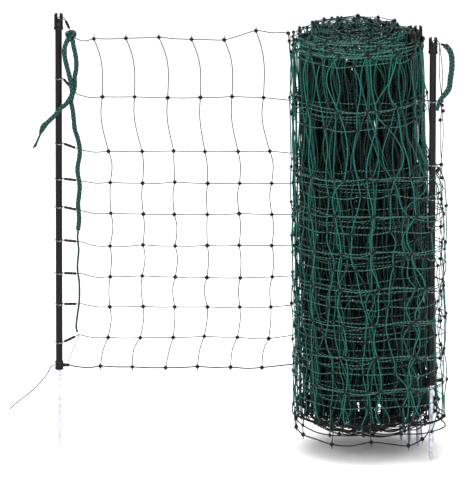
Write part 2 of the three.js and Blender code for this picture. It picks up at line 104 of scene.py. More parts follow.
@dataclass
class Surface:
    """Points, faces of one width each, and a UV pair for each corner of each face.

    Attributes:
        points: (V, 3) in millimetres.
        faces: arrays of shape (F, corners).
        uvs: arrays of shape (F, corners, 2), one for each array of faces.
        shade: (V,) from 0, open to the light, to 1, deep inside.
    """

    points: np.ndarray
    faces: list[np.ndarray]
    uvs: list[np.ndarray]
    shade: np.ndarray


def unit(vectors: np.ndarray) -> np.ndarray:
    """Vectors scaled to length one along the last axis."""
    return vectors / np.maximum(np.linalg.norm(vectors, axis=-1, keepdims=True), 1e-12)


def smooth_path(points: Sequence[Sequence[float]], steps: int) -> np.ndarray:
    """Smooth curve through a few points: a Catmull-Rom cubic on each stretch, sampled evenly.

    Args:
        points: the points it passes through.
        steps: samples on each stretch.

    Returns:
        (N, 3) points along the curve, the last point included.
    """
    knots = np.asarray(points, float)
    padded = np.vstack([2 * knots[0] - knots[1], knots, 2 * knots[-1] - knots[-2]])
    t = np.linspace(0, 1, steps, endpoint=False)[None, :, None]
    a, b, c, d = (padded[i:len(knots) - 1 + i, None, :] for i in range(4))
    curve = 0.5 * (2 * b + (c - a) * t + (2 * a - 5 * b + 4 * c - d) * t**2 + (3 * b - a - 3 * c + d) * t**3)
    return np.vstack([curve.reshape(-1, 3), knots[-1]])


def path_length(points: np.ndarray) -> float:
    """Length of a path, the sum of its stretches."""
    return float(np.linalg.norm(np.diff(points, axis=0), axis=1).sum())


def tubes(
    paths: np.ndarray,
    radius: float | np.ndarray,
    sides: int,
    reference: np.ndarray,
    tangents: np.ndarray | None = None,
    shade: float | np.ndarray = 0.0,
    flatness: float = 1.0,
) -> Surface:
    """Round tubes along many paths at once.

    Each point of a path carries a ring: radius times cosine of the angle along the first normal, plus radius
    times sine of the angle along the second. The first normal is the path's direction crossed with the
    reference, the second is the direction crossed with the first. Both ends are closed with one face.

    Args:
        paths: (S, N, 3) points.
        radius: one radius, or (S, N) radii.
        sides: points in a ring.
        reference: a direction that no path runs along.
        tangents: (S, N, 3) directions, where they aren't the paths' own.
        shade: how deep inside each point lies, one value or (S, N).
        flatness: the rings' size along the second normal over that along the first.

    Returns:
        The surface, with UV as the share round the ring and the length along the path in millimetres.
    """
    paths = np.asarray(paths, float)
    strands, count = paths.shape[:2]
    along = unit(np.gradient(paths, axis=1) if tangents is None else tangents)
    first = unit(np.cross(along, reference))
    second = np.cross(along, first)
    angle = np.linspace(0, 2 * np.pi, sides, endpoint=False)
    radii = np.broadcast_to(radius, (strands, count))[..., None, None]
    cosine, sine = np.cos(angle)[:, None], np.sin(angle)[:, None]
    ring = cosine * first[:, :, None] + flatness * sine * second[:, :, None]
    points = paths[:, :, None] + radii * ring

    index = np.arange(strands * count * sides).reshape(strands, count, sides)
    ahead = np.roll(index, -1, axis=2)
    quads = np.stack([index[:, :-1], ahead[:, :-1], ahead[:, 1:], index[:, 1:]], axis=-1).reshape(-1, 4)
    lengths = np.linalg.norm(np.diff(paths, axis=1), axis=2)
    run = np.concatenate([np.zeros((strands, 1)), np.cumsum(lengths, axis=1)], axis=1)
    v = np.broadcast_to(run[..., None], (strands, count, sides))
    u = np.broadcast_to(np.arange(sides) / sides, (strands, count, sides))
    corners_u = np.stack([u[:, :-1], u[:, :-1] + 1 / sides, u[:, 1:] + 1 / sides, u[:, 1:]], axis=-1)
    corners_v = np.stack([v[:, :-1], v[:, :-1], v[:, 1:], v[:, 1:]], axis=-1)
    quad_uv = np.stack([corners_u, corners_v], axis=-1).reshape(-1, 4, 2)
    caps = np.concatenate([index[:, 0, ::-1], index[:, -1]])
    depth = np.broadcast_to(np.broadcast_to(shade, (strands, count))[..., None], (strands, count, sides))
    uvs = [quad_uv, np.zeros((*caps.shape, 2))]
    return Surface(points.reshape(-1, 3), [quads, caps], uvs, depth.reshape(-1))


def turned(profile: Sequence[tuple[float, float]], sides: int) -> Surface:
    """Lathe shape round the Z axis: each (radius, height) pair is a ring, and both ends are closed flat."""
    pairs = np.asarray(profile, float)
    path = np.zeros((1, len(pairs), 3))
    path[0, :, 2] = pairs[:, 1]
    return tubes(path, pairs[None, :, 0], sides, DEPTH, np.broadcast_to(UP, path.shape))


def moved(surface: Surface, matrix: np.ndarray) -> Surface:
    """The surface with each point put through a 4 by 4 matrix."""
    points = surface.points @ matrix[:3, :3].T + matrix[:3, 3]
    return Surface(points, surface.faces, surface.uvs, surface.shade)


def knot_template(detailed: bool) -> tuple[np.ndarray, list[np.ndarray]]:
    """Moulded knot of unit reach, flat along Y, as rings from its front middle to its back middle.

    A ring's outline is a rounded diamond: its reach at an angle is one over the sum of the cosine and the
    sine, each to the power 1.2, to the power 1 over 1.2. The rings' sizes and depths give a raised rim round
    a dimple.

    Args:
        detailed: whether the face has its dimple.

    Returns:
        The points and the faces, the quads first.
    """
    angle = np.linspace(0, 2 * np.pi, 8, endpoint=False)
    power = 1.2
    reach = (np.abs(np.cos(angle)) ** power + np.abs(np.sin(angle)) ** power) ** (-1 / power)
    rows = [(0.30, -0.46), (0.48, -0.62), (0.80, -0.40)] if detailed else [(0.5, -0.56)]
    rows = rows + [(1.0, 0.0)] + [(size, -depth) for size, depth in reversed(rows)]
    pole = 0.34 if detailed else 0.6
    sizes, depths = np.array(rows).T
    rings = np.stack([
        sizes[:, None] * reach * np.cos(angle),
        np.broadcast_to(depths[:, None], (len(rows), 8)),
        sizes[:, None] * reach * np.sin(angle),
    ], axis=-1)
    points = np.vstack([rings.reshape(-1, 3), [[0, -pole, 0], [0, pole, 0]]])
    index = np.arange(len(rows) * 8).reshape(len(rows), 8)
    ahead = np.roll(index, -1, axis=1)
    quads = np.stack([index[:-1], index[1:], ahead[1:], ahead[:-1]], axis=-1).reshape(-1, 4)
    front, back = len(points) - 2, len(points) - 1
    fans = np.concatenate([
        np.stack([index[0], ahead[0], np.full(8, front)], axis=-1),
        np.stack([ahead[-1], index[-1], np.full(8, back)], axis=-1),
    ])
    return points, [quads, fans]


def knots(
    centres: np.ndarray,
    across: np.ndarray,
    outwards: np.ndarray,
    reach: float | np.ndarray,
    turn: np.ndarray,
    detailed: bool,
    shade: float | np.ndarray = 0.0,
) -> Surface:
    """Moulded knots, each the template scaled, turned in its own face and set at its centre.

    Args:
        centres: (K, 3) places.
        across: (K, 3) directions of the line through each knot.
        outwards: (K, 3) directions that each knot faces.
        reach: half a knot's width, one value or (K,).
        turn: (K,) angles in the knot's face, in radians.
        detailed: whether the knots have their dimple.
        shade: how deep inside each knot lies, one value or (K,).

    Returns:
        The joined surface.
    """
    points, faces = knot_template(detailed)
    upright = np.cross(outwards, across)
    cosine, sine = np.cos(turn)[:, None], np.sin(turn)[:, None]
    side = cosine * across + sine * upright
    rise = -sine * across + cosine * upright
    size = np.broadcast_to(reach, (len(centres),))[:, None, None]
    axes = np.stack([side, -outwards, rise], axis=1)
    placed = centres[:, None] + size * (points @ axes)
    base = (np.arange(len(centres)) * len(points))[:, None, None]
    all_faces = [(part[None] + base).reshape(-1, part.shape[1]) for part in faces]
    blank = [np.zeros((*part.shape, 2)) for part in all_faces]
    depth = np.broadcast_to(np.broadcast_to(shade, (len(centres),))[:, None], placed.shape[:2])
    return Surface(placed.reshape(-1, 3), all_faces, blank, depth.reshape(-1))


def spokes(turn: np.ndarray) -> tuple[np.ndarray, np.ndarray]:
    """Level directions at each angle: outwards from an upright axis, and round it."""
    cosine, sine, level = np.cos(turn), np.sin(turn), np.zeros_like(turn)
    return np.stack([cosine, sine, level], axis=-1), np.stack([-sine, cosine, level], axis=-1)


def woven(points: np.ndarray, middles: np.ndarray) -> np.ndarray:
    """A path's points with a middle point between each two."""
    joined = np.empty((len(points) + len(middles), 3))
    joined[0::2], joined[1::2] = points, middles
    return joined


def put_in_mesh(name: str, surfaces: Sequence[Surface], sharp: float = 0.7) -> bpy.types.Object:
    """One mesh object at the origin from several surfaces, in metres in the shared frame.

    Args:
        name: the object's name.
        surfaces: the surfaces it joins.
        sharp: the angle in radians past which an edge stays sharp.

    Returns:
        The new object, linked to the scene.
    """
    points = np.vstack([surface.points for surface in surfaces]) * MM + ORIGIN
    starts = np.cumsum([0] + [len(surface.points) for surface in surfaces[:-1]])
    faces = [
        row for surface, start in zip(surfaces, starts) for part in surface.faces
        for row in (part + start).tolist()
    ]
    mesh = bpy.data.meshes.new(name)
    mesh.from_pydata(points.tolist(), [], faces)
    uv = np.concatenate([part.reshape(-1, 2) for surface in surfaces for part in surface.uvs])
    mesh.uv_layers.new(name="run").data.foreach_set("uv", (uv * (1.0, MM)).ravel())
    shade = mesh.attributes.new("shade", "FLOAT", "POINT")
    shade.data.foreach_set("value", np.concatenate([surface.shade for surface in surfaces]))
    mesh.polygons.foreach_set("use_smooth", np.ones(len(mesh.polygons), bool))
    mesh.set_sharp_from_angle(angle=sharp)
    mesh.update()
    piece = bpy.data.objects.new(name, mesh)
    bpy.context.scene.collection.objects.link(piece)
    return piece


# Materials

# Polymers here reflect less than the shader's default, so that black stays black under soft light
DULL_SPECULAR = 0.2

def linear(colour: str) -> tuple[float, float, float, float]:
    """An sRGB hex colour as linear red, green, blue and alpha."""
    values = np.array([int(colour[i:i + 2], 16) / 255 for i in (1, 3, 5)])
    light = np.where(values <= 0.04045, values / 12.92, ((values + 0.055) / 1.055) ** 2.4)
    return (*light.tolist(), 1.0)


def plug(tree: bpy.types.NodeTree, node: bpy.types.Node, inputs: dict) -> None:
    """Gives a node's inputs their values, or links them where the value is an output socket."""
    for name, value in inputs.items():
        if isinstance(value, bpy.types.NodeSocket):
            tree.links.new(value, node.inputs[name])
        else:
            node.inputs[name].default_value = value


def add_node(tree: bpy.types.NodeTree, kind: str, inputs: dict | None = None, **settings) -> bpy.types.Node:
    """Adds a node with its settings, its input values and its links.

    Args:
        tree: the node tree.
        kind: the node's type name.
        inputs: input names or numbers, each with a value or an output socket to link from.
        settings: the node's own properties.

    Returns:
        The new node.
    """
    node = tree.nodes.new(kind)
    for name, value in settings.items():
        setattr(node, name, value)
    plug(tree, node, inputs or {})
    return node


def maths(
    tree: bpy.types.NodeTree, operation: str, *inputs: float | bpy.types.NodeSocket,
) -> bpy.types.NodeSocket:
    """Result of one sum on values or sockets."""
    return add_node(tree, "ShaderNodeMath", dict(enumerate(inputs)), operation=operation).outputs[0]


def noise(tree: bpy.types.NodeTree, scale: float, detail: float) -> bpy.types.NodeSocket:
    """Noise over the Object coordinates, which are metres in the shared frame, as its factor."""
    where = add_node(tree, "ShaderNodeTexCoord").outputs["Object"]
    inputs = {"Vector": where, "Scale": scale, "Detail": detail}
    return add_node(tree, "ShaderNodeTexNoise", inputs).outputs["Fac"]


def bumped(
    tree: bpy.types.NodeTree, height: bpy.types.NodeSocket, strength: float, metres: float,
) -> bpy.types.NodeSocket:
    """Normal of a bump as high as the given metres."""
    inputs = {"Height": height, "Strength": strength, "Distance": metres}
    return add_node(tree, "ShaderNodeBump", inputs).outputs["Normal"]


def run_coordinates(tree: bpy.types.NodeTree) -> tuple[bpy.types.NodeSocket, bpy.types.NodeSocket]:
    """Share of the way round a tube, and metres along it, from its own UV map."""
    uv = add_node(tree, "ShaderNodeUVMap", uv_map="run").outputs[0]
    parts = add_node(tree, "ShaderNodeSeparateXYZ", {"Vector": uv})
    return parts.outputs["X"], parts.outputs["Y"]


def blend(
    tree: bpy.types.NodeTree,
    factor: bpy.types.NodeSocket,
    low: tuple[float, ...] | bpy.types.NodeSocket,
    high: tuple[float, ...] | bpy.types.NodeSocket,
) -> bpy.types.NodeSocket:
    """Mix of two colours: low where the factor is 0 and high where it is 1."""
    node = add_node(tree, "ShaderNodeMix", {0: factor}, data_type="RGBA")
    ends = [socket for socket in node.inputs if socket.type == "RGBA"]
    plug(tree, node, {list(node.inputs).index(socket): value for socket, value in zip(ends, (low, high))})
    return next(socket for socket in node.outputs if socket.type == "RGBA")


def ramp(
    tree: bpy.types.NodeTree, factor: bpy.types.NodeSocket, stops: Sequence[tuple[float, str]],
) -> bpy.types.NodeSocket:
    """A colour ramp over (place, hex colour) stops, as its colour output."""
    node = add_node(tree, "ShaderNodeValToRGB", {"Fac": factor})
    elements = node.color_ramp.elements
    while len(elements) < len(stops):
        elements.new(0.5)
    for element, (place, colour) in zip(elements, stops):
        element.position = place
        element.color = linear(colour)
    return node.outputs["Color"]


def blank_material(name: str) -> tuple[bpy.types.Material, bpy.types.NodeTree, bpy.types.Node]:
    """A new material with its tree and its shader."""
    material = bpy.data.materials.new(name)
    material.use_nodes = True
    tree = material.node_tree
    return material, tree, tree.nodes["Principled BSDF"]


@dataclass(frozen=True)
class PostPlastic:
    """Extruded and moulded black polypropylene: a satin skin with faint draw lines along the rod."""

    name: str = "extruded black polypropylene"
    colour: str = "#040405"
    worn: str = "#0B0B0C"
    roughness: float = 0.36
    draw_line_mm: float = 1.4

    def material(self) -> bpy.types.Material:
        """Builds the material: noise stretched along Z gives the draw lines' colour and bump."""
        material, tree, shader = blank_material(self.name)
        where = add_node(tree, "ShaderNodeTexCoord").outputs["Object"]
        scale = 1 / (self.draw_line_mm * MM)
        stretch = {"Vector": where, "Scale": (scale, scale, scale / 60)}
        stretched = add_node(tree, "ShaderNodeMapping", stretch).outputs[0]
        fine = {"Vector": stretched, "Scale": 1.0, "Detail": 3.0}
        lines = add_node(tree, "ShaderNodeTexNoise", fine).outputs["Fac"]
        plug(tree, shader, {
            "Base Color": ramp(tree, lines, [(0.35, self.colour), (0.75, self.worn)]),
            "Normal": bumped(tree, lines, 0.12, 0.0004),
            "Roughness": self.roughness,
            "IOR": 1.49,
            "Specular IOR Level": DULL_SPECULAR,
        })
        return material


@dataclass(frozen=True)
class SpikeSteel:
    """Zinc-plated drawn steel rod: bright, a little lavender, with soft patches in the plating."""

    name: str = "zinc-plated drawn steel"
    bright: str = "#D9D7E2"
    dull: str = "#A9A7B4"
    roughness: float = 0.34
    patch_mm: float = 5.0

    def material(self) -> bpy.types.Material:
        """Builds the material: soft noise mixes the bright and the dull plating."""
        material, tree, shader = blank_material(self.name)
        patches = noise(tree, 1 / (self.patch_mm * MM), 4.0)
        plug(tree, shader, {
            "Base Color": ramp(tree, patches, [(0.3, self.dull), (0.65, self.bright)]),
            "Normal": bumped(tree, patches, 0.1, 0.0003),
            "Metallic": 0.85,
            "Roughness": self.roughness,
        })
        return material


@dataclass(frozen=True)
class Twine:
    """Polyethylene twine, twisted: plies wind round the line, and some are bare steel filaments.

    Attributes:
        lit: colour of a ply that lies open to the light.
        deep: colour of the same ply deep in the roll, where hardly any light reaches.
        shaded_furrow: colour between the plies, painted darker as shade.
        steel: colour of the steel filaments.
        steel_share: share of the way round the line that steel takes up.
        lay_mm: length of line in which a ply winds once round. The real one is 6 mm; it is drawn coarser,
            so that it shows in a render of the whole net.
    """

    name: str
    lit: str
    deep: str
    shaded_furrow: str
    steel: str = "#C9D6D2"
    steel_share: float = 0.0
    lay_mm: float = 9.0
    plies: int = 3
    roughness: float = 0.5

    def material(self) -> bpy.types.Material:
        """Builds the material: share round plus length over the lay gives the winding plies."""
        material, tree, shader = blank_material(self.name)
        around, along = run_coordinates(tree)
        wound = maths(tree, "MULTIPLY_ADD", along, 1 / (self.lay_mm * MM), around)
        crown = maths(tree, "PINGPONG", maths(tree, "MULTIPLY", wound, float(self.plies)), 1.0)
        shade = add_node(tree, "ShaderNodeAttribute", attribute_name="shade").outputs["Fac"]
        # Painted shade: plies deep in the roll take the near-black deep colour
        skin = ramp(tree, shade, [(0.0, self.lit), (0.5, self.deep)])
        crowned = ramp(tree, crown, [(0.05, "#000000"), (0.45, "#FFFFFF")])
        # Painted shade: the furrows between the plies take a darker colour
        colour = blend(tree, crowned, linear(self.shaded_furrow), skin)
        if self.steel_share:
            steel = maths(tree, "LESS_THAN", maths(tree, "FRACT", wound), self.steel_share)
            # Steel shows only outside the painted shade of the inner turns
            outside_painted_shade = maths(tree, "LESS_THAN", shade, 0.45)
            colour = blend(tree, maths(tree, "MULTIPLY", steel, outside_painted_shade), colour, linear(self.steel))
        plug(tree, shader, {
            "Base Color": colour,
            "Normal": bumped(tree, crown, 0.6, 0.0004),
            "Roughness": self.roughness,
            "Specular IOR Level": DULL_SPECULAR,
        })
        return material


@dataclass(frozen=True)
class MouldedKnot:
    """Black polyethylene moulded over a crossing: smooth and near black, with a faint purple sheen painted
    in random patches.
    """

    name: str = "black moulded polyethylene"
    colour: str = "#040405"
    painted_sheen: str = "#120E16"
    roughness: float = 0.34
    mottle_mm: float = 3.0

    def material(self) -> bpy.types.Material:
        """Builds the material: fine noise mottles the skin with the painted purple sheen."""
        material, tree, shader = blank_material(self.name)
        mottle = noise(tree, 1 / (self.mottle_mm * MM), 2.0)
        # Painted sheen: the noise lays faint purple patches on the black
        plug(tree, shader, {
            "Base Color": ramp(tree, mottle, [(0.35, self.colour), (0.7, self.painted_sheen)]),
            "Roughness": self.roughness,
            "IOR": 1.51,
            "Specular IOR Level": 0.18,
        })
        return material


@dataclass(frozen=True)
class BraidedCord:
    """Hollow-braid polypropylene cord: two sets of yarns cross and give small diagonal scales.

    Attributes:
        braid_mm: length of cord in which a yarn winds once round. It is drawn coarser than the real braid,
            with fewer yarns, so that the scales show in a render of the whole net.
        yarns: yarns in each set.
        fuzz_scale: how fine the fuzz on the yarns is, in waves a metre.
    """

    name: str = "braided polypropylene cord"
    crown: str = "#2F6A62"
    body: str = "#12332E"
    shaded_valley: str = "#051413"
    braid_mm: float = 24.0
    yarns: int = 3
    roughness: float = 0.7
    fuzz_scale: float = 900.0

    def material(self) -> bpy.types.Material:
        """Builds the material: the product of two crossing sets of waves gives the yarns' scales, painted
        from near black in the valleys, as shade, to lighter crowns.
        """
        material, tree, shader = blank_material(self.name)
        around, along = run_coordinates(tree)
        along = maths(tree, "MULTIPLY", along, self.yarns / (self.braid_mm * MM))
        around = maths(tree, "MULTIPLY", around, float(self.yarns))
        waves = [
            maths(tree, "PINGPONG", maths(tree, operation, along, around), 0.5)
            for operation in ("ADD", "SUBTRACT")
        ]
        height = maths(tree, "MULTIPLY", maths(tree, "MULTIPLY", *waves), 4.0)
        mottled = maths(tree, "MULTIPLY_ADD", noise(tree, self.fuzz_scale, 2.0), 0.35, height)
        # Painted shade: near black in the valleys between the yarns, lighter on the crowns
        plug(tree, shader, {
            "Base Color": ramp(tree, mottled, [(0.12, self.shaded_valley), (0.42, self.body), (1.0, self.crown)]),
            "Normal": bumped(tree, height, 0.8, 0.0012),
            "Roughness": self.roughness,
            "Specular IOR Level": DULL_SPECULAR,
        })
        return material


@dataclass(frozen=True)
class PaintedBoard:
    """Matt white studio board, even all over."""

    name: str = "matt white studio board"
    colour: str = "#F7F7F7"

    def material(self) -> bpy.types.Material:
        """Builds the material: one rough near-white."""
        material, _, shader = blank_material(self.name)
        shader.inputs["Base Color"].default_value = linear(self.colour)
        shader.inputs["Roughness"].default_value = 0.9
        return material


class Finish(Enum):
    """The finishes on the netting."""

    POST = PostPlastic()
    SPIKE = SpikeSteel()
    # The panel's twine is the same green twine as the roll's, painted darker: painted shade where it stands
    # against the bright floor
    PANEL_LINE = Twine(
        "green polywire twine with steel filaments, painted in shade", "#1B2A26", "#0C1412", "#080D0C", "#59635F", 0.18,
    )
    PANEL_STRAND = Twine("green polyethylene twine, painted in shade", "#1B2B27", "#0C1412", "#080D0C")
    # The roll's near-black deep colours are painted shade for its inner turns
    ROLL_LINE = Twine(
        "green polywire twine with steel filaments", "#235A51", "#010302", "#0B2723", "#6E938B", 0.14, 7.5,
    )
    ROLL_STRAND = Twine("green polyethylene twine", "#176A5F", "#010403", "#08362F")
    GROUND = Twine("black polyethylene twine", "#0C0D0E", "#050505", "#040505")
    LOOP = Twine("bare steel-wound line", "#5E6361", "#5E6361", "#2E3231", "#B4B9B7", 0.3)
    KNOT = MouldedKnot()
    FERRULE = PostPlastic("black plastic-covered crimp", "#070708", "#101012", 0.42, 2.0)
    CORD = BraidedCord()
    BOARD = PaintedBoard()


MATERIALS: dict[Finish, bpy.types.Material] = {}


def dress(
    piece: bpy.types.Object, finish: Finish, nodes: Sequence[str] = (),
) -> bpy.types.Object:
    """Gives a piece its finish and its body, and hides the CAD nodes that it stands for.

    Args:
        piece: the finished piece.
        finish: its finish.
        nodes: CAD nodes that it replaces.

    Returns:
        The same piece.
    """
    if finish not in MATERIALS:
        MATERIALS[finish] = finish.value.material()
    piece.data.materials.append(MATERIALS[finish])
    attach(piece, BODY)
    if nodes:
        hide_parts(*nodes)
    LOG.info("%s: %d faces", piece.name, len(piece.data.polygons))
    return piece


def add_piece(
    name: str,
    surfaces: Sequence[Surface],
    finish: Finish,
    nodes: Sequence[str] = (),
    sharp: float = 3.0,
) -> bpy.types.Object:
    """Makes one piece from its surfaces and dresses it.

    Args:
        name: the piece's name.
        surfaces: the surfaces it joins.
        finish: its finish.
        nodes: CAD nodes that it replaces.
        sharp: the angle in radians past which an edge stays sharp.

    Returns:
        The new piece.
    """
    return dress(put_in_mesh(name, surfaces, sharp), finish, nodes)


# Studio


@dataclass(frozen=True)
class Studio:
    """Camera at the photograph's angle, pale floor and soft lights.

    Attributes:
        distance: camera to the panel's middle.
        elevation: camera above the horizon, in degrees.
        pixel: size of one pixel of the photograph in the panel's plane.
        frame_long: pixels on the photograph's long side.
        aim: the point of the panel's plane in the middle of the photograph.
    """

    distance: float = 40000.0
    elevation: float = 14.0
    pixel: float = 1.929
    frame_long: int = 500
    aim: tuple[float, float, float] = (341.4, 0.0, 392.2)
    sensor: float = 36.0

    def camera(self) -> None:
        """Far camera on the photograph's line of sight, with the lens that gives its scale."""
        data = bpy.data.cameras.new("camera")
        data.sensor_width = self.sensor
        data.lens = self.sensor * self.distance / (self.frame_long * self.pixel)
        data.clip_end = 100.0
        camera = bpy.data.objects.new("camera", data)
        rise = np.radians(self.elevation)
        back = np.array([0.0, -np.cos(rise), np.sin(rise)])
        camera.location = (np.array(self.aim) + back * self.distance) * MM + ORIGIN
        camera.rotation_mode = "QUATERNION"
        camera.rotation_quaternion = Vector(-back).to_track_quat("-Z", "Y")
        bpy.context.scene.collection.objects.link(camera)
        bpy.context.scene.camera = camera

    def floor(self) -> None:
        """A wide pale board under the netting."""
        half = 6.0
        mesh = bpy.data.meshes.new("studio_floor")
        corners = [(-half, -half, 0), (half, -half, 0), (half, half, 0), (-half, half, 0)]
        mesh.from_pydata(corners, [], [(0, 1, 2, 3)])
        board = bpy.data.objects.new("studio_floor", mesh)
        board.data.materials.append(Finish.BOARD.value.material())
        bpy.context.scene.collection.objects.link(board)

    def light(self, name: str, place: tuple[float, float, float], size: float, power: float) -> None:
        """One soft square light that points at the middle of the netting.

        Args:
            name: the light's name.
            place: where it hangs, in metres.
            size: its side, in metres.
            power: its power in watts.
        """
        data = bpy.data.lights.new(name, "AREA")
        data.size = size
        data.energy = power
        lamp = bpy.data.objects.new(name, data)
        lamp.location = place
        target = Vector((0.0, 0.0, 0.45))
        lamp.rotation_mode = "QUATERNION"
        lamp.rotation_quaternion = (target - Vector(place)).to_track_quat("-Z", "Y")
        bpy.context.scene.collection.objects.link(lamp)

    def daylight(self) -> None:
        """Wide soft light from straight above, as strong everywhere, which keeps the far floor white."""
        data = bpy.data.lights.new("even_daylight", "SUN")
        data.energy = 1.6
        data.angle = 1.2
        lamp = bpy.data.objects.new("even_daylight", data)
        lamp.rotation_euler = (0.25, -0.15, 0.0)
        bpy.context.scene.collection.objects.link(lamp)

    def build(self) -> None:
        """Makes camera, floor, lights and the white surroundings."""
        self.camera()
        self.floor()
        self.light("key", (-0.9, -3.0, 2.2), 1.2, 70.0)
        self.light("fill", (2.6, -2.6, 1.8), 2.0, 40.0)
        self.light("overhead", (0.0, 0.6, 3.6), 4.0, 110.0)
        self.daylight()
        world = bpy.data.worlds.new("white room")
        world.use_nodes = True
        background = world.node_tree.nodes["Background"]
        plug(world.node_tree, background, {"Color": (1.0, 1.0, 1.0, 1.0), "Strength": 0.5})
        bpy.context.scene.world = world
        bpy.context.scene.view_settings.view_transform = "Standard"


# Posts


class Lug(Enum):
    """Which side of a post its foot's lug points to."""

    RIGHT = 1
    LEFT = -1


@dataclass(frozen=True)
class PostSizes:
    """Sizes of the post, the same for all seven."""

    height: float = 861.0
    rod: float = 6.55
    head: float = 8.5
    head_length: float = 31.0
    notch_width: float = 3.8
    eye: float = 2.6
    eye_depth: float = 9.5
    foot_bottom: float = 155.0
    foot_height: float = 17.0
    foot: float = 8.3
    lug_reach: float = 20.0
    spike: float = 3.75
    spike_point: float = 9.0
    sides: int = 32


@dataclass
class Post:
    """One post: rod, notched head, foot sleeve with its lug, and steel spike.

    Attributes:
        name: the post's name, which its CAD nodes start with.
        tip: its spike's tip.
        top: its head's top middle, or a point towards it.
        lug: the side of its lug.
    """

    name: str
    tip: np.ndarray
    top: np.ndarray
    lug: Lug = Lug.RIGHT
    sizes: PostSizes = field(default_factory=PostSizes)

    def matrix(self) -> np.ndarray:
        """The post's own upright frame set on its tip and leaned to its top."""
        along = unit(self.top - self.tip)
        turn = np.array(Vector(UP).rotation_difference(Vector(along)).to_matrix())
        place = np.eye(4)
        place[:3, :3] = turn
        place[:3, 3] = self.tip
        return place

    def rod(self) -> Surface:
        """The rod: a plain turned bar between foot and head, with a small round at its lower end."""
        size = self.sizes
        low, high = size.foot_bottom, size.height - size.head_length + 13
        return turned([(size.rod - 0.8, low), (size.rod, low + 0.8), (size.rod, high)], size.sides)

    def foot(self) -> list[Surface]:
        """The foot: a sleeve with rounded rims, and a lug that tapers outwards with a round eye end."""
        size = self.sizes
        low, high = size.foot_bottom, size.foot_bottom + size.foot_height
        inner = size.rod + 0.25
        sleeve = turned([
            (inner, low + 0.2), (size.foot - 0.9, low), (size.foot, low + 1.0),
            (size.foot - 0.4, low + 4), (size.foot - 0.4, high - 4), (size.foot, high - 2.5),
            (size.foot, high - 1.0), (size.foot - 0.9, high), (inner, high - 0.2),
        ], size.sides)
        reach = np.linspace(size.rod + 0.7, size.lug_reach, 9)
        side = self.lug.value
        path = np.zeros((1, 9, 3))
        path[0, :, 0] = side * reach
        path[0, :, 2] = low + size.foot_height / 2
        share = np.linspace(0, 1, 9)
        radii = 3.9 - 1.1 * share + 0.7 * np.exp(-((share - 0.9) / 0.12) ** 2)
        radii[-1] = 1.6
        lug = tubes(path, radii[None], 12, DEPTH)
        squeezed = np.diag([1.0, 0.55, 1.0, 1.0])
        return [sleeve, moved(lug, squeezed)]

    def spike(self) -> Surface:
        """The spike: a round bar that swells a little where it enters the rod and ends in a blunt cone."""
        size = self.sizes
        return turned([
            (0.9, 0.0), (1.6, 1.2),
            (size.spike - 0.5, size.spike_point - 1.2), (size.spike, size.spike_point + 0.6),
            (size.spike, size.foot_bottom - 3), (size.spike + 0.5, size.foot_bottom - 1),
            (size.spike + 0.5, size.foot_bottom),
        ], 24)

    def head(self) -> bpy.types.Object:
        """The head: a turned cap with its flange, less a keyhole prism through it along Y."""
        size = self.sizes
        low, high = size.height - size.head_length, size.height
        cap = turned([
            (size.rod + 0.25, low + 0.3), (size.head + 0.5, low), (size.head + 0.8, low + 0.5),
            (size.head + 0.8, low + 2.6), (size.head + 0.1, low + 4.0), (size.head, low + 6.0),
            (size.head, high - 1.6), (size.head - 0.5, high - 0.5), (size.head - 1.6, high),
        ], size.sides)
        half = size.notch_width / 2
        open_angle = np.arcsin(half / size.eye)
        bend = np.linspace(np.pi / 2 + open_angle, 5 * np.pi / 2 - open_angle, 17)
        eye_z = high - size.eye_depth
        outline = np.vstack([
            [[-half, high + 9]],
            np.stack([size.eye * np.cos(bend), eye_z + size.eye * np.sin(bend)], axis=-1),
            [[half, high + 9]],
        ])
        count = len(outline)
        front = np.column_stack([outline[:, 0], np.full(count, -20.0), outline[:, 1]])
        prism = np.vstack([front, front + (0, 40, 0)])
        index = np.arange(count)
        ahead = np.roll(index, -1)
        walls = np.stack([index, index + count, ahead + count, ahead], axis=-1)
        blank = [np.zeros((count, 4, 2)), np.zeros((2, count, 2))]
        ends = np.stack([index, index[::-1] + count])
        notch = Surface(prism, [walls, ends], blank, np.zeros(2 * count))
        place = self.matrix()
        piece = put_in_mesh(f"{self.name}_cap", [moved(cap, place)], sharp=0.6)
        cutter = put_in_mesh(f"{self.name}_notch", [moved(notch, place)])
        cut = piece.modifiers.new("notch", "BOOLEAN")
        cut.object = cutter
        cut.operation = "DIFFERENCE"
        cut.solver = "EXACT"
        bpy.context.view_layer.update()
        evaluated = piece.evaluated_get(bpy.context.evaluated_depsgraph_get())
        mesh = bpy.data.meshes.new_from_object(evaluated)
        piece.modifiers.clear()
        piece.data = mesh
        bpy.data.objects.remove(cutter)
        return piece

    def build(self) -> None:
        """Builds the four pieces and puts each in place of its CAD node."""
        place = self.matrix()
        plastic, soft_edge = "post_plastic", 0.7
        rod, spike = moved(self.rod(), place), moved(self.spike(), place)
        foot = [moved(part, place) for part in self.foot()]
        add_piece(f"{self.name}_bar", [rod], Finish.POST, [f"{self.name}_rod"], soft_edge)
        dress(self.head(), Finish.POST, [f"{self.name}_head"])
        add_piece(f"{self.name}_sleeve", foot, Finish.POST, [f"{self.name}_foot"], soft_edge)
        steel = [f"{self.name}_spike"]
        add_piece(f"{self.name}_point", [spike], Finish.SPIKE, steel, soft_edge)


def head_loop() -> tuple[tuple[float, float, float], np.ndarray]:
    """The wire loop through a head's notch, in the post's own frame: where it closes, and its path."""
    sizes = PostSizes()
    eye, out = sizes.height - sizes.eye_depth, sizes.head + 2
    end = (12.5, 0.0, eye - 2)
    corners = [end, (sizes.head, -out, eye), (0.0, -out, eye), (0.0, out, eye), (sizes.head, out, eye), end]
    return end, smooth_path(corners, 6)


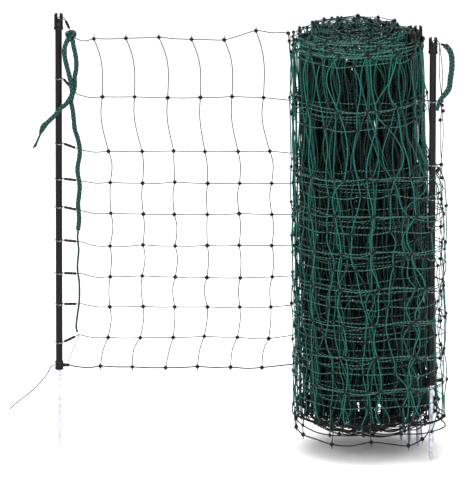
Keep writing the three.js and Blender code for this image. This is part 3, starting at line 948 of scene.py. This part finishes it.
def standing_post(name: str, lug: Lug) -> Post:
    """A post that leans as its solids do: its axis joins the middles of its spike's and head's boxes."""
    sizes = PostSizes()
    boxes = (np.array(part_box(f"{name}_{part}")) for part in ("spike", "head"))
    low, high = ((box.mean(axis=0) - ORIGIN) / MM for box in boxes)
    along = unit(high - low)
    tip = low - along * (low[2] - np.hypot(along[0], along[1])) / along[2]
    return Post(name, tip, tip + along * sizes.height, lug)


FAR_POST_NAME = "far_end_post"
ROLL_POST_NAMES = tuple(f"roll_post_{number}" for number in range(1, 6))

# Net


@dataclass(frozen=True)
class NetSizes:
    """Sizes of the net: its mesh, its lines and its knots."""

    pitch: float = 62.2
    first_strand: float = 99.7
    line: float = 0.95
    bottom_line: float = 1.3
    wire: float = 0.8
    knot: float = 4.9
    loop: float = 7.9


NET = NetSizes()
# Angle in radians past which an edge of a moulded knot stays sharp
KNOT_SHARP = 0.9
# Heights of the ten lines along the panel, and how far each line's knots lie from the middle lines' knots
PANEL_HEIGHTS = (811.0, 695.0, 588.0, 526.0, 464.0, 401.5, 339.0, 279.5, 218.0, 159.0)
PANEL_SHIFTS = (-31.0, -15.0, -3.0, 0.0, 0.0, 0.0, 0.0, 0.0, -5.0, -20.0)
RING_HEIGHTS = (733.0, 604.0, 534.0, 478.0, 412.0, 346.5, 285.0, 209.0)
# Where each line bends past its ferrule: out from the post and up
LINE_BENDS = (
    (43.0, 807.0), (36.0, 701.0), (44.0, 590.5), (44.0, 529.5), (45.0, 470.0), (45.0, 408.0), (45.0, 345.0),
    (45.0, 285.0), (39.0, 224.0), (35.0, 160.0),
)
TOP_KNOTS = (811.0, 812.0, 814.0, 810.0, 809.0, 827.0, 822.0)
# Heights of the same lines round the roll, where the turns have slipped down
ROLL_HEIGHTS = (812.0, 698.0, 566.0, 493.0, 420.0, 347.0, 279.0, 212.0, 147.0, 83.0)


@dataclass
class RolledNet:
    """The rest of the net, wound from the panel round the back of the roll and inwards in a spiral.

    A place on the net is an angle wound in from the panel and a height. Its radius shrinks evenly from the
    roll's outside to the bore as the angle grows. Lines run along the angle and strands along the height,
    and both pass through the same jittered knots, with a bow between them.

    Attributes:
        turns: turns of net.
        bore: radius of the innermost turn.
        start: angle at which the panel meets the roll, in degrees.
        seed: seed of the jitter.
        line_steps: points along each line.
        seen_turns: turns, from the outside, whose strands can be told apart.
        outer_strand: radius of the strands in those turns.
        inner_strand: radius of the strands further in. They are drawn far thicker than the real ones, and
        there are more turns than in the real roll, so that the floor doesn't show as white specks. With the
        painted shade they make the inside of the roll near black.
        knot_slack: spread of each knot along its line.
        knot_lean: spread of each strand's lean, from its top knot to its bottom knot.
        knot_rise: spread of each knot's height.
        knot_out_spread: spread of each knot's distance from the roll's axis.
        post_room: room that the outer turns leave round the far post's axis.
        post_bell: half the width of their bulge round the post, in radians.
        bulge_top: height at which the bulge ends.
        bulge_fade: height over which it fades below that.
        bulge_turns: turns, from the outside, that take part in it.
        darkening: how fast the painted shade grows with the share wound in.
    """

    turns: int = 40
    bore: float = 48.0
    start: float = 165.0
    seed: int = 41
    line_steps: int = 2380
    seen_turns: float = 11.0
    outer_strand: float = 1.2
    inner_strand: float = 2.6
    knot_slack: float = 7.0
    knot_lean: float = 6.0
    knot_rise: float = 2.2
    knot_out_spread: float = 1.2
    post_room: float = 19.0
    post_bell: float = 0.32
    bulge_top: float = 650.0
    bulge_fade: float = 90.0
    bulge_turns: float = 4.6
    darkening: float = 2.1
    join: tuple[float, ...] = PANEL_HEIGHTS
    lines: tuple[float, ...] = ROLL_HEIGHTS

    def __post_init__(self) -> None:
        """Works out the winding and the jittered knots."""
        self.far_post = standing_post(FAR_POST_NAME, Lug.RIGHT)
        self.random = np.random.default_rng(self.seed)
        self.wound = 2 * np.pi * self.turns
        self.angles = np.linspace(0, self.wound, 6000)
        middle = (ROLL.bottom_radius + ROLL.top_radius) / 2
        radii = mix(middle, self.bore, self.angles / self.wound)
        steps = np.diff(self.angles) * (radii[1:] + radii[:-1]) / 2
        self.run = np.concatenate([[0.0], np.cumsum(steps)])
        self.count = int(self.run[-1] / NET.pitch)
        rows = len(self.lines)
        place = (np.arange(self.count) + 0.4) * NET.pitch
        angle = np.interp(place, self.run, self.angles)
        self.arm = mix(middle, self.bore, angle / self.wound)
        slack = self.random.normal(0, self.knot_slack, (self.count, rows))
        lean = self.random.normal(0, self.knot_lean, (self.count, 1)) * np.linspace(-1, 1, rows)
        self.knot_angle = np.sort(angle[:, None] + (slack + lean) / self.arm[:, None], axis=0)
        rise = self.random.normal(0, self.knot_rise, (self.count, rows))
        self.knot_z = self.height(self.knot_angle) + rise
        self.knot_out = self.random.normal(0, self.knot_out_spread, (self.count, rows))

    def height(self, angle: np.ndarray) -> np.ndarray:
        """Height of each line at each angle.

        The lines leave the panel at its heights, reach the roll's heights over the first half turn, slip up
        and down by two slow waves of the angle, and hang lower at the front of the bottom rim. The two upper
        lines also climb, the top one most, by the square root of the share wound in.

        Args:
            angle: (K, rows) wound angles.

        Returns:
            (K, rows) heights.
        """
        share = np.clip(angle / np.pi, 0, 1)
        ease = share * share * (3 - 2 * share)
        level = mix(np.array(self.join), np.array(self.lines), ease)
        turn = angle / (2 * np.pi)
        reach = np.interp(np.arange(len(self.lines)), [0, 1, 8, 9], [12.0, 20.0, 20.0, 13.0])
        slip = reach * np.sin(2.4 * turn + 0.5) + 5.0 * np.sin(0.9 * angle + 0.4)
        facing = np.sin(np.radians(self.start) - angle)
        low_end = 1 - ROLL.share(level)
        climb = np.interp(np.arange(len(self.lines)), [0, 1, 2], [34.0, 15.0, 0.0])
        rise = climb * np.sqrt(angle / self.wound)
        return level + ease * (slip + 10.0 * facing * low_end) + rise

    def outer(self, angle: np.ndarray, z: np.ndarray) -> np.ndarray:
        """Radius of the net at an angle and a height: even steps from the outside to the bore.

        The outer turns also bulge round the far end post: a flat-topped bell of the angle from the post, as
        high as the post stands out from the roll. It fades to nothing above the third line and further in.
        """
        even = mix(ROLL.radius(z) + 0.5, self.bore, angle / self.wound)
        tip, top = self.far_post.tip, self.far_post.top
        post = tip + (top - tip) * (z / top[2])[..., None]
        away = post - ROLL.centre(z)
        reach = np.hypot(away[..., 0], away[..., 1]) + self.post_room - ROLL.radius(z)
        turn = np.radians(self.start) - angle - np.arctan2(away[..., 1], away[..., 0])
        off = np.arctan2(np.sin(turn), np.cos(turn))
        low = np.clip((self.bulge_top - z) / self.bulge_fade, 0, 1)
        outer_turns = np.clip(self.bulge_turns - angle / (2 * np.pi), 0, 1)
        return even + np.maximum(reach, 0) * np.exp(-(off / self.post_bell) ** 4) * low * outer_turns

    def shade(self, angle: np.ndarray, z: np.ndarray) -> np.ndarray:
        """How deep inside a point lies, which sets the painted shade: grows with the angle wound in, and
        less near the open top rim.
        """
        open_top = np.clip((z - 775.0) / 50.0, 0, 1)
        return np.clip(self.darkening * angle / self.wound * (1 - 0.8 * open_top), 0, 1)

    def place(self, angle: np.ndarray, z: np.ndarray, radius: np.ndarray) -> np.ndarray:
        """Points on the roll: its centre at the height, plus the radius along the angle."""
        spoke, _ = spokes(np.radians(self.start) - angle)
        level = ROLL.centre(z)
        level[..., 2] = z
        return level + radius[..., None] * spoke

    def line_paths(self) -> tuple[np.ndarray, np.ndarray]:
        """Paths of the ten lines: straight mixes between knots, plus half a sine of sag and of bulge."""
        angle = np.interp(np.linspace(0, self.run[-1], self.line_steps), self.run, self.angles)
        paths = []
        for row in range(len(self.lines)):
            knots_at = self.knot_angle[:, row]
            along = np.interp(angle, knots_at, np.arange(self.count))
            cell = np.minimum(along.astype(int), self.count - 1)
            arch = np.sin(np.pi * (along - cell))
            sag = np.abs(self.random.normal(0, 3.0, self.count))[cell] * arch
            bulge = self.random.normal(-1.0, 1.8, self.count)[cell] * arch
            z = np.interp(angle, knots_at, self.knot_z[:, row]) - sag
            radius = self.outer(angle, z) + np.interp(angle, knots_at, self.knot_out[:, row]) + bulge
            paths.append(self.place(angle, z, radius))
        paths = np.stack(paths)
        heights = paths[..., 2]
        return paths, self.shade(np.broadcast_to(angle, heights.shape), heights)

    def strand_paths(self, columns: slice, steps_tall: int, steps_low: int) -> tuple[np.ndarray, np.ndarray]:
        """Paths of the strands: on each mesh a half and a full sine bow them sideways, a half sine outwards.

        Args:
            columns: which strands.
            steps_tall: points on each mesh of the two tall rows.
            steps_low: points on each mesh of the other rows.

        Returns:
            The paths and how deep inside each point lies.
        """
        angles, heights, radii = [], [], []
        rows = len(self.lines)
        count = len(self.arm[columns])
        for row in range(rows - 1):
            tall = row < 2
            steps = steps_tall if tall else steps_low
            t = np.linspace(0, 1, steps, endpoint=row == rows - 2)[None]
            half, full = np.sin(np.pi * t), np.sin(2 * np.pi * t)
            bow = np.clip(self.random.normal(0, 14.0 if tall else 4.0, (count, 1)), -24, 24)
            wave = self.random.normal(0, 4.0 if tall else 1.8, (count, 1))
            bulge = self.random.normal(-0.5, 2.0 if tall else 1.4, (count, 1))
            ends = [array[columns, row:row + 2] for array in (self.knot_angle, self.knot_z, self.knot_out)]
            angle, z, out = (mix(end[:, :1], end[:, 1:], t) for end in ends)
            angle = angle + (bow * half + wave * full) / self.arm[columns, None]
            angles.append(angle)
            heights.append(z)
            radii.append(self.outer(angle, z) + out + bulge * half)
        angle, z, radius = (np.concatenate(parts, axis=1) for parts in (angles, heights, radii))
        return self.place(angle, z, radius), self.shade(angle, z)

    def knot_surface(self) -> Surface:
        """The moulded knots, each facing out from the roll's axis."""
        angle, z = self.knot_angle.ravel(), self.knot_z.ravel()
        radius = self.outer(angle, z) + self.knot_out.ravel()
        outwards, across = spokes(np.radians(self.start) - angle)
        size = NET.knot * self.random.uniform(0.85, 1.05, len(angle))
        spin = self.random.normal(0, 0.2, len(angle))
        return knots(self.place(angle, z, radius), across, outwards, size, spin, False, self.shade(angle, z))

    def build(self) -> None:
        """Builds lines, strands, rim lines and knots, which together stand for the roll's solid."""
        paths, shade = self.line_paths()
        lines = tubes(paths[:-1], NET.line, 4, UP, shade=shade[:-1])
        add_piece("rolled_lines", [lines], Finish.ROLL_LINE, ["net_roll"])
        ground = tubes(paths[-1:], NET.bottom_line, 5, UP, shade=shade[-1:])
        add_piece("rolled_ground_line", [ground], Finish.GROUND)
        seen = int(np.interp(2 * np.pi * self.seen_turns, self.angles, self.run) / NET.pitch)
        kinds = (
            ("outer", slice(0, seen), 13, 6, 5, self.outer_strand),
            ("inner", slice(seen, None), 7, 4, 4, self.inner_strand),
        )
        for name, columns, tall, low, sides, radius in kinds:
            paths, shade = self.strand_paths(columns, tall, low)
            surface = tubes(paths, radius, sides, DEPTH, shade=shade)
            add_piece(f"rolled_strands_{name}", [surface], Finish.ROLL_STRAND)
        add_piece("rolled_knots", [self.knot_surface()], Finish.KNOT, sharp=KNOT_SHARP)


@dataclass
class NetPanel:
    """The unrolled panel, from its loops round the end post to the roll.

    Attributes:
        roll: the rolled net, which gives the points where the panel's lines meet it.
        bows: how far the strands bow to the right on each row of meshes.
    """

    roll: RolledNet
    bows: tuple[float, ...] = (8.5, -6.0, 3.0, -3.5, 2.5, 3.5, -3.0, 2.0, -4.0)
    seed: int = 5

    def __post_init__(self) -> None:
        """Places the knots in columns at the mesh pitch, each line shifted and jittered."""
        random = np.random.default_rng(self.seed)
        self.random = random
        columns = np.arange(6)
        x = NET.first_strand + columns * NET.pitch + np.array(PANEL_SHIFTS)[:, None]
        z = np.broadcast_to(np.array(PANEL_HEIGHTS)[:, None], x.shape).copy()
        z[0] = TOP_KNOTS[:6]
        x = x + random.normal(0, 1.0, x.shape)
        z[1:] += random.normal(0, 1.2, z[1:].shape)
        edge_x, edge_z = np.array(LINE_BENDS).T
        self.x = np.column_stack([edge_x, x])
        self.z = np.column_stack([edge_z, z])
        self.last = np.array([NET.first_strand + 6 * NET.pitch + PANEL_SHIFTS[0], 0.0, TOP_KNOTS[6]])

    def ends(self) -> np.ndarray:
        """Where each line meets the roll's outer turn."""
        angle = np.zeros((1, 10))
        z = self.roll.height(angle)
        return self.roll.place(angle, z, self.roll.outer(angle, z))[0]

    def line(self, row: int, end: np.ndarray) -> np.ndarray:
        """Path of one line: smooth through its knots, sagging a little between them."""
        points = np.column_stack([self.x[row], np.zeros(7), self.z[row]])
        if row == 0:
            points = np.vstack([points, self.last])
        middles = (points[1:] + points[:-1]) / 2
        sag = np.abs(self.random.normal(0, 0.8, len(middles)))
        sag[0] += 2.5 if 0 < row < 9 else 1.0
        middles[:, 2] -= sag
        return smooth_path(np.vstack([woven(points, middles), end]), 5)

    def build(self) -> None:
        """Builds the lines, strands, loops and knots that stand for the panel's solid."""
        ends = self.ends()
        line_surfaces = []
        for row in range(9):
            line_surfaces.append(tubes(self.line(row, ends[row])[None], NET.line, 6, UP))
        line_surfaces += self.hook()
        rings = []
        for row, ring_z in enumerate(RING_HEIGHTS, start=1):
            start = np.array([NET.loop, 0.0, ring_z])
            edge = np.array([self.x[row, 0], 0.0, self.z[row, 0]])
            lead = np.linspace(start, edge, 6)
            line_surfaces.append(tubes(lead[None], NET.line, 6, UP))
            rings.append(loop_round_post(ring_z))
        add_piece("panel_lines", line_surfaces, Finish.PANEL_LINE, ["net_panel"])
        add_piece("post_loops", rings, Finish.LOOP)
        ground_path = self.line(9, ends[9])
        sizes = PostSizes()
        lug_end = np.array([sizes.lug_reach, 0.0, sizes.foot_bottom + sizes.foot_height / 2])
        lead = smooth_path([lug_end, (31.0, 0.0, 160.5), ground_path[0]], 5)
        ground = [tubes(line[None], NET.bottom_line, 6, UP) for line in (ground_path, lead)]
        add_piece("panel_ground_line", ground, Finish.GROUND)
        add_piece("panel_strands", self.strands(), Finish.PANEL_STRAND)
        add_piece("panel_knots", self.knot_surfaces(), Finish.KNOT, sharp=KNOT_SHARP)

    def hook(self) -> list[Surface]:
        """The top line's wire: a loop through the head's notch, then down through ferrule and knot."""
        end, loop = head_loop()
        bend = (self.x[0, 0], 0.0, self.z[0, 0])
        down = smooth_path([end, (22.0, 0.0, 828.5), (24.0, 0.0, 818.0), bend], 6)
        return [tubes(loop[None], NET.wire, 6, UP), tubes(down[None], NET.line, 6, DEPTH)]

    def strands(self) -> list[Surface]:
        """The strands: straight mixes between knots plus a half sine bow, on all columns at once."""
        t = np.linspace(0, 1, 9)[None]
        surfaces = []
        for row, bow in enumerate(self.bows):
            x = mix(self.x[row, 1:, None], self.x[row + 1, 1:, None], t)
            z = mix(self.z[row, 1:, None], self.z[row + 1, 1:, None], t)
            reach = bow + self.random.normal(0, 1.5, (6, 1))
            x = x + reach * np.sin(np.pi * t) * (1 + 0.25 * np.cos(np.pi * t))
            y = self.random.normal(0, 1.2, (6, 1)) * np.sin(np.pi * t)
            surfaces.append(tubes(np.stack([x, y, z], axis=-1), NET.line, 6, DEPTH))
        into_roll = smooth_path([self.last, self.last + (4, -8, -30), self.last + (14, -22, -62)], 5)
        surfaces.append(tubes(into_roll[None], NET.line, 6, DEPTH))
        edge = np.linspace((self.x[8, 0], 0.0, self.z[8, 0]), (17.0, 0.0, 170.0), 6)
        surfaces.append(tubes(edge[None], 0.7, 6, DEPTH))
        return surfaces

    def knot_surfaces(self) -> list[Surface]:
        """The panel's knots, facing the front, with a thin nib on those of the top and bottom lines."""
        x, z = self.x[:, 1:].ravel(), self.z[:, 1:].ravel()
        centres = np.vstack([np.column_stack([x, np.zeros(len(x)), z]), self.last])
        count = len(centres)
        across = np.broadcast_to([1.0, 0.0, 0.0], (count, 3))
        outwards = np.broadcast_to([0.0, -1.0, 0.0], (count, 3))
        size = NET.knot * self.random.uniform(0.92, 1.06, count)
        spin = self.random.normal(0, 0.12, count)
        surfaces = [knots(centres, across, outwards, size, spin, True)]
        for row, way in ((0, 1.0), (9, -1.0)):
            feet = np.column_stack([self.x[row, 1:], np.zeros(6), self.z[row, 1:]])
            surfaces.append(nibs(feet, way))
        return surfaces


def loop_round_post(height: float) -> Surface:
    """One line's loop round the end post: two close coils of steel-wound line, as a slightly tilted ring."""
    angle = np.linspace(0, 2 * np.pi, 33)
    radius = PostSizes().rod + 1.1
    path = np.stack([radius * np.cos(angle), radius * np.sin(angle), height + 0.5 * np.sin(angle)], axis=-1)
    return tubes(path[None], 0.7, 6, UP)


def nibs(feet: np.ndarray, way: float) -> Surface:
    """Thin nibs left by the mould: a short tapering bar above or below each knot.

    Args:
        feet: (K, 3) centres of the knots.
        way: 1 for up and -1 for down.

    Returns:
        The joined surface.
    """
    t = np.linspace(0, 1, 4)
    rise = way * (3.5 + 6.0 * t)
    paths = feet[:, None] + np.stack([0.5 * np.sin(3 * t), np.zeros(4), rise], axis=-1)[None]
    return tubes(paths, 1.0 - 0.55 * t, 5, DEPTH)


# Ferrules


@dataclass(frozen=True)
class Ferrule:
    """A crimped ferrule on a straight stretch of line: a tube with two pressed waists."""

    name: str
    start: tuple[float, float, float]
    towards: tuple[float, float, float]
    gap: float
    length: float
    radius: float = 2.75

    def build(self) -> None:
        """Builds the ferrule: its radius dips by two narrow bell curves along its length."""
        share = np.linspace(0, 1, 15)
        dip = 0.45 * (np.exp(-((share - 0.3) / 0.07) ** 2) + np.exp(-((share - 0.7) / 0.07) ** 2))
        radii = self.radius - dip
        radii[[0, -1]] = self.radius - 0.6
        begin, end = np.array(self.start, float), np.array(self.towards, float)
        along = unit(end - begin)
        path = begin + along * (self.gap + self.length * share)[:, None]
        tube = tubes(path[None], radii[None], 16, DEPTH)
        add_piece(f"{self.name}_crimped", [tube], Finish.FERRULE, [self.name], 0.7)


# Cords

# Angle in radians past which an edge of a cord stays sharp
CORD_SHARP = 2.0


@dataclass(frozen=True)
class Cord:
    """A free cord on a smooth route through listed points.

    Attributes:
        name: the piece's name.
        points: its route.
        radius: its radius.
        far_end: what its far end is; not used.
        nodes: the CAD nodes that it stands for.
        finish: its finish.
        slot: its record slot; not used.
        flatness: its depth over its width.
        end_share: its radius at the far end over that at the start.
    """

    name: str
    points: tuple[tuple[float, float, float], ...]
    radius: float
    far_end: str
    nodes: tuple[str, ...]
    finish: Finish = Finish.CORD
    slot: str = "braided_cord"
    sides: int = 14
    steps: int = 8
    flatness: float = 1.0
    end_share: float = 1.0

    def build(self, with_pieces: Sequence[bpy.types.Object] = ()) -> bpy.types.Object:
        path = smooth_path(self.points, self.steps)
        share = np.linspace(0, 1, len(path))
        ripple = 1 + 0.03 * np.sin(share * path_length(path) / 3.2)
        taper = mix(1.0, self.end_share, np.clip((share - 0.75) / 0.25, 0, 1))
        radii = self.radius * ripple * taper
        surface = tubes(path[None], radii[None], self.sides, DEPTH, flatness=self.flatness)
        piece = add_piece(self.name, [surface], self.finish, self.nodes, CORD_SHARP)
        return piece


SHORT_ROUTE = (
    (18, -6, 812), (12, -13, 797), (12, -17, 780), (16, -18, 761), (21, -18, 741), (25, -18, 720),
    (25, -18, 704), (14, -18, 686), (4, -17, 678), (-4, -16, 667), (-15, -14, 655), (-25, -12, 645),
    (-29, -11, 640),
)
SHORT_TIP = ((-29, -11, 640), (-35, -10, 626), (-40, -9, 614), (-46, -8, 601))
LONG_ROUTE = (
    (27, -6, 811), (29, -9, 798), (32, -9, 784), (34, -9, 770), (34, -9, 754), (31, -9, 737),
    (31, -9, 719), (27, -9, 703), (24, -9, 689), (27, -9, 672), (29, -9, 654), (31, -9, 634),
    (36, -9, 618), (40, -9, 599), (40, -9, 581), (36, -9, 554), (40, -9, 524), (39, -9, 504),
    (37, -9, 484), (39, -9, 459), (37, -9, 434),
)
LONG_TIP = (
    (37, -9, 434), (36, -9, 418), (38, -9, 394), (36, -9, 370), (36, -9, 352), (39, -9, 329),
    (39, -9, 295), (36, -9, 270), (33, -9, 244), (35, -9, 231),
)
FAR_ROUTE = (
    (741, -188, 843), (746, -188, 839), (751, -188, 832), (754, -188, 823), (755, -188, 813),
    (755, -188, 801), (754, -188, 790), (752, -188, 777), (749, -188, 757), (735, -188, 738),
    (730, -187, 728), (727, -186, 714),
)
TAIL_ROUTE = (
    (-8.8, -1, 164), (-15, -4, 162), (-20, -7, 154), (-28, -8, 141), (-52, -9, 115),
    (-77, -10, 95), (-96, -10, 78),
)


@dataclass(frozen=True)
class GuyCords:
    """The end post's knotted pair of guy cords, the far post's doubled one, and the ground line's tail."""

    knot_centre: tuple[float, float, float] = (23.5, -1.0, 818.5)

    def overhand_knot(self) -> bpy.types.Object:
        """The guy knot: a closed curl of the cord, a core through it and a wrap across its front."""
        t = np.linspace(0, 2 * np.pi, 60)
        centre = np.array(self.knot_centre)
        curl = np.stack([
            6.9 * np.sin(t) + 1.2 * np.sin(2 * t),
            -1.5 + 3.4 * np.sin(3 * t + 0.4),
            7.4 * np.cos(t) - np.cos(2 * t),
        ], axis=-1)
        core = np.linspace(centre + (-2, -1, 7.0), centre + (1, -1, -8.0), 12)
        wrap_t = np.linspace(0, np.pi * 1.25, 30)
        wrap = np.stack([5.6 * np.cos(wrap_t) + 1, -5.2 * np.sin(wrap_t) - 1.0, 4.5 - 2.8 * wrap_t], axis=-1)
        turns = [
            tubes((centre + curl)[None], 4.0, 12, DEPTH),
            tubes(core[None], 4.0, 12, DEPTH),
            tubes((centre + wrap)[None], 3.1, 12, UP),
        ]
        return add_piece("guy_knot_tied", turns, Finish.CORD, ["guy_knot"], CORD_SHARP)

    def stopper(self) -> bpy.types.Object:
        """The short cord's end: a fat wrapped knot, as a spindle swelling over the cord."""
        share = np.linspace(0, 1, 16)
        path = smooth_path([(-19, -13, 650.5), (-29, -11, 640), (-37, -9.5, 622)], 8)[:16]
        radii = 2.2 + 3.6 * np.abs(np.sin(np.pi * share)) ** 0.8
        tube = tubes(path[None], radii[None], 14, DEPTH)
        return add_piece("short_cord_stopper", [tube], Finish.CORD, sharp=CORD_SHARP)

    def frayed_end(self) -> bpy.types.Object:
        """The short cord's melted and flared tip: a bundle of yarns that spreads to the end."""
        spread = np.linspace(-1, 1, 7)
        t = np.linspace(0, 1, 6)[None, :, None]
        start, end = np.array([-38.5, -9.2, 617.5]), np.array([-47.0, -8.0, 598.0])
        fan = np.stack([2.6 * spread, 0.9 * np.cos(2.2 * spread) - 0.5, 1.2 * spread], axis=-1)[:, None]
        paths = start + (end - start) * t + fan * (0.35 + 0.8 * t**1.5)
        yarns = tubes(paths, 1.0, 8, DEPTH)
        return add_piece("short_cord_fray", [yarns], Finish.CORD, sharp=CORD_SHARP)

    def build(self) -> None:
        """Builds the cords and what is on them."""
        knot = self.overhand_knot()
        stopper, fray = self.stopper(), self.frayed_end()
        Cord(
            "guy_cord_short_braid", SHORT_ROUTE, 4.6, "knot", ("guy_cord_short",), flatness=0.7,
        ).build([stopper, fray, knot])
        Cord("short_cord_tail", SHORT_TIP, 2.0, "bare", (), steps=8).build()
        Cord("guy_cord_long_braid", LONG_ROUTE, 4.5, "bare", ("guy_cord_long",), flatness=0.7).build()
        Cord("long_cord_tail", LONG_TIP, 2.0, "bare", (), steps=6).build()
        Cord(
            "far_guy_cord_braid", FAR_ROUTE, 5.4, "bare", ("far_guy_cord",), flatness=0.7, end_share=0.6,
        ).build()
        Cord(
            "ground_line_tail_twine", TAIL_ROUTE, 1.0, "bare", ("ground_line_tail",),
            Finish.GROUND, "ground_line", 8,
        ).build()


# The net's far end and the hanging bottom line


@dataclass(frozen=True)
class FarNetEnd:
    """The net's far end round the far end post: loops, leads to the roll and the slack edge strand."""

    edge_reach: float = 17.0

    def build(self) -> None:
        """Builds the far end's lines and knots in the far post's own frame."""
        post = standing_post(FAR_POST_NAME, Lug.RIGHT)
        place = post.matrix()

        def put(points: np.ndarray) -> np.ndarray:
            """Points of the post's own frame in the shared frame."""
            return np.asarray(points, float) @ place[:3, :3].T + place[:3, 3]

        end, loop = head_loop()
        surfaces = [tubes(put(loop)[None], NET.wire, 6, UP)]
        cord_start = np.array(FAR_ROUTE[0], float)
        surfaces.append(tubes(np.linspace(put(end), cord_start, 4)[None], NET.line, 6, DEPTH))
        heights = np.array(RING_HEIGHTS)
        edge = put(np.column_stack([np.full(8, self.edge_reach), np.zeros(8), heights]))
        chain = np.vstack([put(end), edge])
        for bow in (3.5, -2.5):
            middles = (chain[1:] + chain[:-1]) / 2 + (bow, 0, 0)
            surfaces.append(tubes(smooth_path(woven(chain, middles), 5)[None], NET.wire, 6, DEPTH))
        rings = []
        for height, knot_at in zip(RING_HEIGHTS, edge):
            rings.append(moved(loop_round_post(height), place))
            start = put((NET.loop, 0.0, height))
            surfaces.append(tubes(np.linspace(start, knot_at, 4)[None], NET.line, 6, UP))
            centre = put((0.0, 0.0, height))
            axis = ROLL.centre(np.array(centre[2]))
            outwards = unit(np.array([centre[0] - axis[0], centre[1] - axis[1], 0.0]))
            on_roll = np.array([axis[0], axis[1], centre[2]]) + outwards * (ROLL.radius(centre[2]) - 3)
            halfway = (centre + on_roll) / 2 - (0, 0, 3)
            lead = smooth_path([centre - outwards * NET.loop, halfway, on_roll], 5)
            surfaces.append(tubes(lead[None], NET.line, 6, UP))
        add_piece("far_end_lines", surfaces, Finish.PANEL_LINE, ["far_net_end"])
        add_piece("far_post_loops", rings, Finish.LOOP)
        across = np.broadcast_to([1.0, 0.0, 0.0], (8, 3))
        outwards = np.broadcast_to([0.0, -1.0, 0.0], (8, 3))
        moulded = knots(edge, across, outwards, NET.knot, np.linspace(-0.3, 0.3, 8), True)
        slack = np.array([(736.5, 725), (738.4, 714), (732.8, 696), (728, 597), (736.5, 582)])
        slack = np.column_stack([slack[:, 0], np.full(5, -189.0), slack[:, 1]])
        loose = knots(slack, across[:5], outwards[:5], 0.9 * NET.knot, np.linspace(-0.5, 0.6, 5), True)
        add_piece("far_end_knots", [moulded, loose], Finish.KNOT, sharp=KNOT_SHARP)
        Ferrule("far_cord_crimp", tuple(put(end)), tuple(cord_start), 4.2, 6.0).build()


@dataclass(frozen=True)
class HangingLine:
    """The outer turn's bottom line, which hangs below the roll's front rim from its strands.

    Attributes:
        route: degrees round the roll and height of its points.
        knotted: which of the points carry a knot.
    """

    route: tuple[tuple[float, float], ...] = (
        (194, 75), (203, 56), (214, 47), (228, 45), (243, 40), (258, 40), (274, 48), (290, 42),
        (304, 35), (318, 42), (326, 54), (331, 74),
    )
    knotted: tuple[int, ...] = (1, 2, 4, 6, 8, 9)
    reach: float = 3.0

    def build(self) -> None:
        """Builds the line, its knots and the strands that it hangs by."""
        degrees, heights = np.array(self.route, float).T
        levels = np.maximum(heights, ROLL.bottom[2])
        angle = np.radians(degrees)
        spoke, around = spokes(angle)
        points = ROLL.centre(levels) + (ROLL.radius(levels) + self.reach)[:, None] * spoke
        points[:, 2] = heights
        points[[0, -1]] -= 4 * spoke[[0, -1]]
        path = smooth_path(points, 8)
        picked = list(self.knotted)
        feet = points[picked]
        rims = feet + (0, 0, 1) * (92 - feet[:, 2:]) - 3 * spoke[picked]
        t = np.linspace(0, 1, 7)[None, :, None]
        bow = np.array([[2.0], [-3.0], [2.5], [-2.0], [3.0], [-1.5]])[:, :, None] * np.sin(np.pi * t)
        across = around[picked]
        paths = mix(feet[:, None], rims[:, None], t) + bow * across[:, None]
        line = tubes(path[None], NET.bottom_line, 6, UP)
        add_piece("hanging_line_twine", [line], Finish.GROUND, ["hanging_bottom_line"])
        hangers = tubes(paths, NET.line, 6, DEPTH)
        add_piece("hanging_line_strands", [hangers], Finish.PANEL_STRAND)
        spin = np.linspace(-0.2, 0.2, len(picked))
        moulded = knots(feet, across, spoke[picked], 1.1 * NET.knot, spin, True)
        parts = [moulded, nibs(feet, -1.0)]
        add_piece("hanging_line_knots", parts, Finish.KNOT, sharp=KNOT_SHARP)


def build_ferrules(panel: NetPanel) -> None:
    """The ferrules beside the end post, each on the line from its loop to the bend past it."""
    top_start, _ = head_loop()
    Ferrule("top_ferrule", top_start, (22.0, 0.0, 828.5), 3.0, 16.0).build()
    for row, height in enumerate(RING_HEIGHTS, start=1):
        edge = (panel.x[row, 0], 0.0, panel.z[row, 0])
        Ferrule(f"line_ferrule_{row}", (NET.loop, 0.0, height), edge, 2.3, 23.0).build()


def main() -> None:
    """Builds the studio, the cords and then the netting from the end post to the roll."""
    logging.basicConfig(level=logging.INFO, format="%(name)s: %(message)s")
    Studio().build()
    GuyCords().build()
    sizes = PostSizes()
    Post("end_post", np.zeros(3), np.array([0.0, 0.0, sizes.height])).build()
    for name in ROLL_POST_NAMES:
        standing_post(name, Lug.LEFT).build()
    standing_post(FAR_POST_NAME, Lug.RIGHT).build()
    rolled = RolledNet()
    rolled.build()
    panel = NetPanel(rolled)
    panel.build()
    build_ferrules(panel)
    FarNetEnd().build()
    HangingLine().build()


if __name__ == "__main__":
    main()
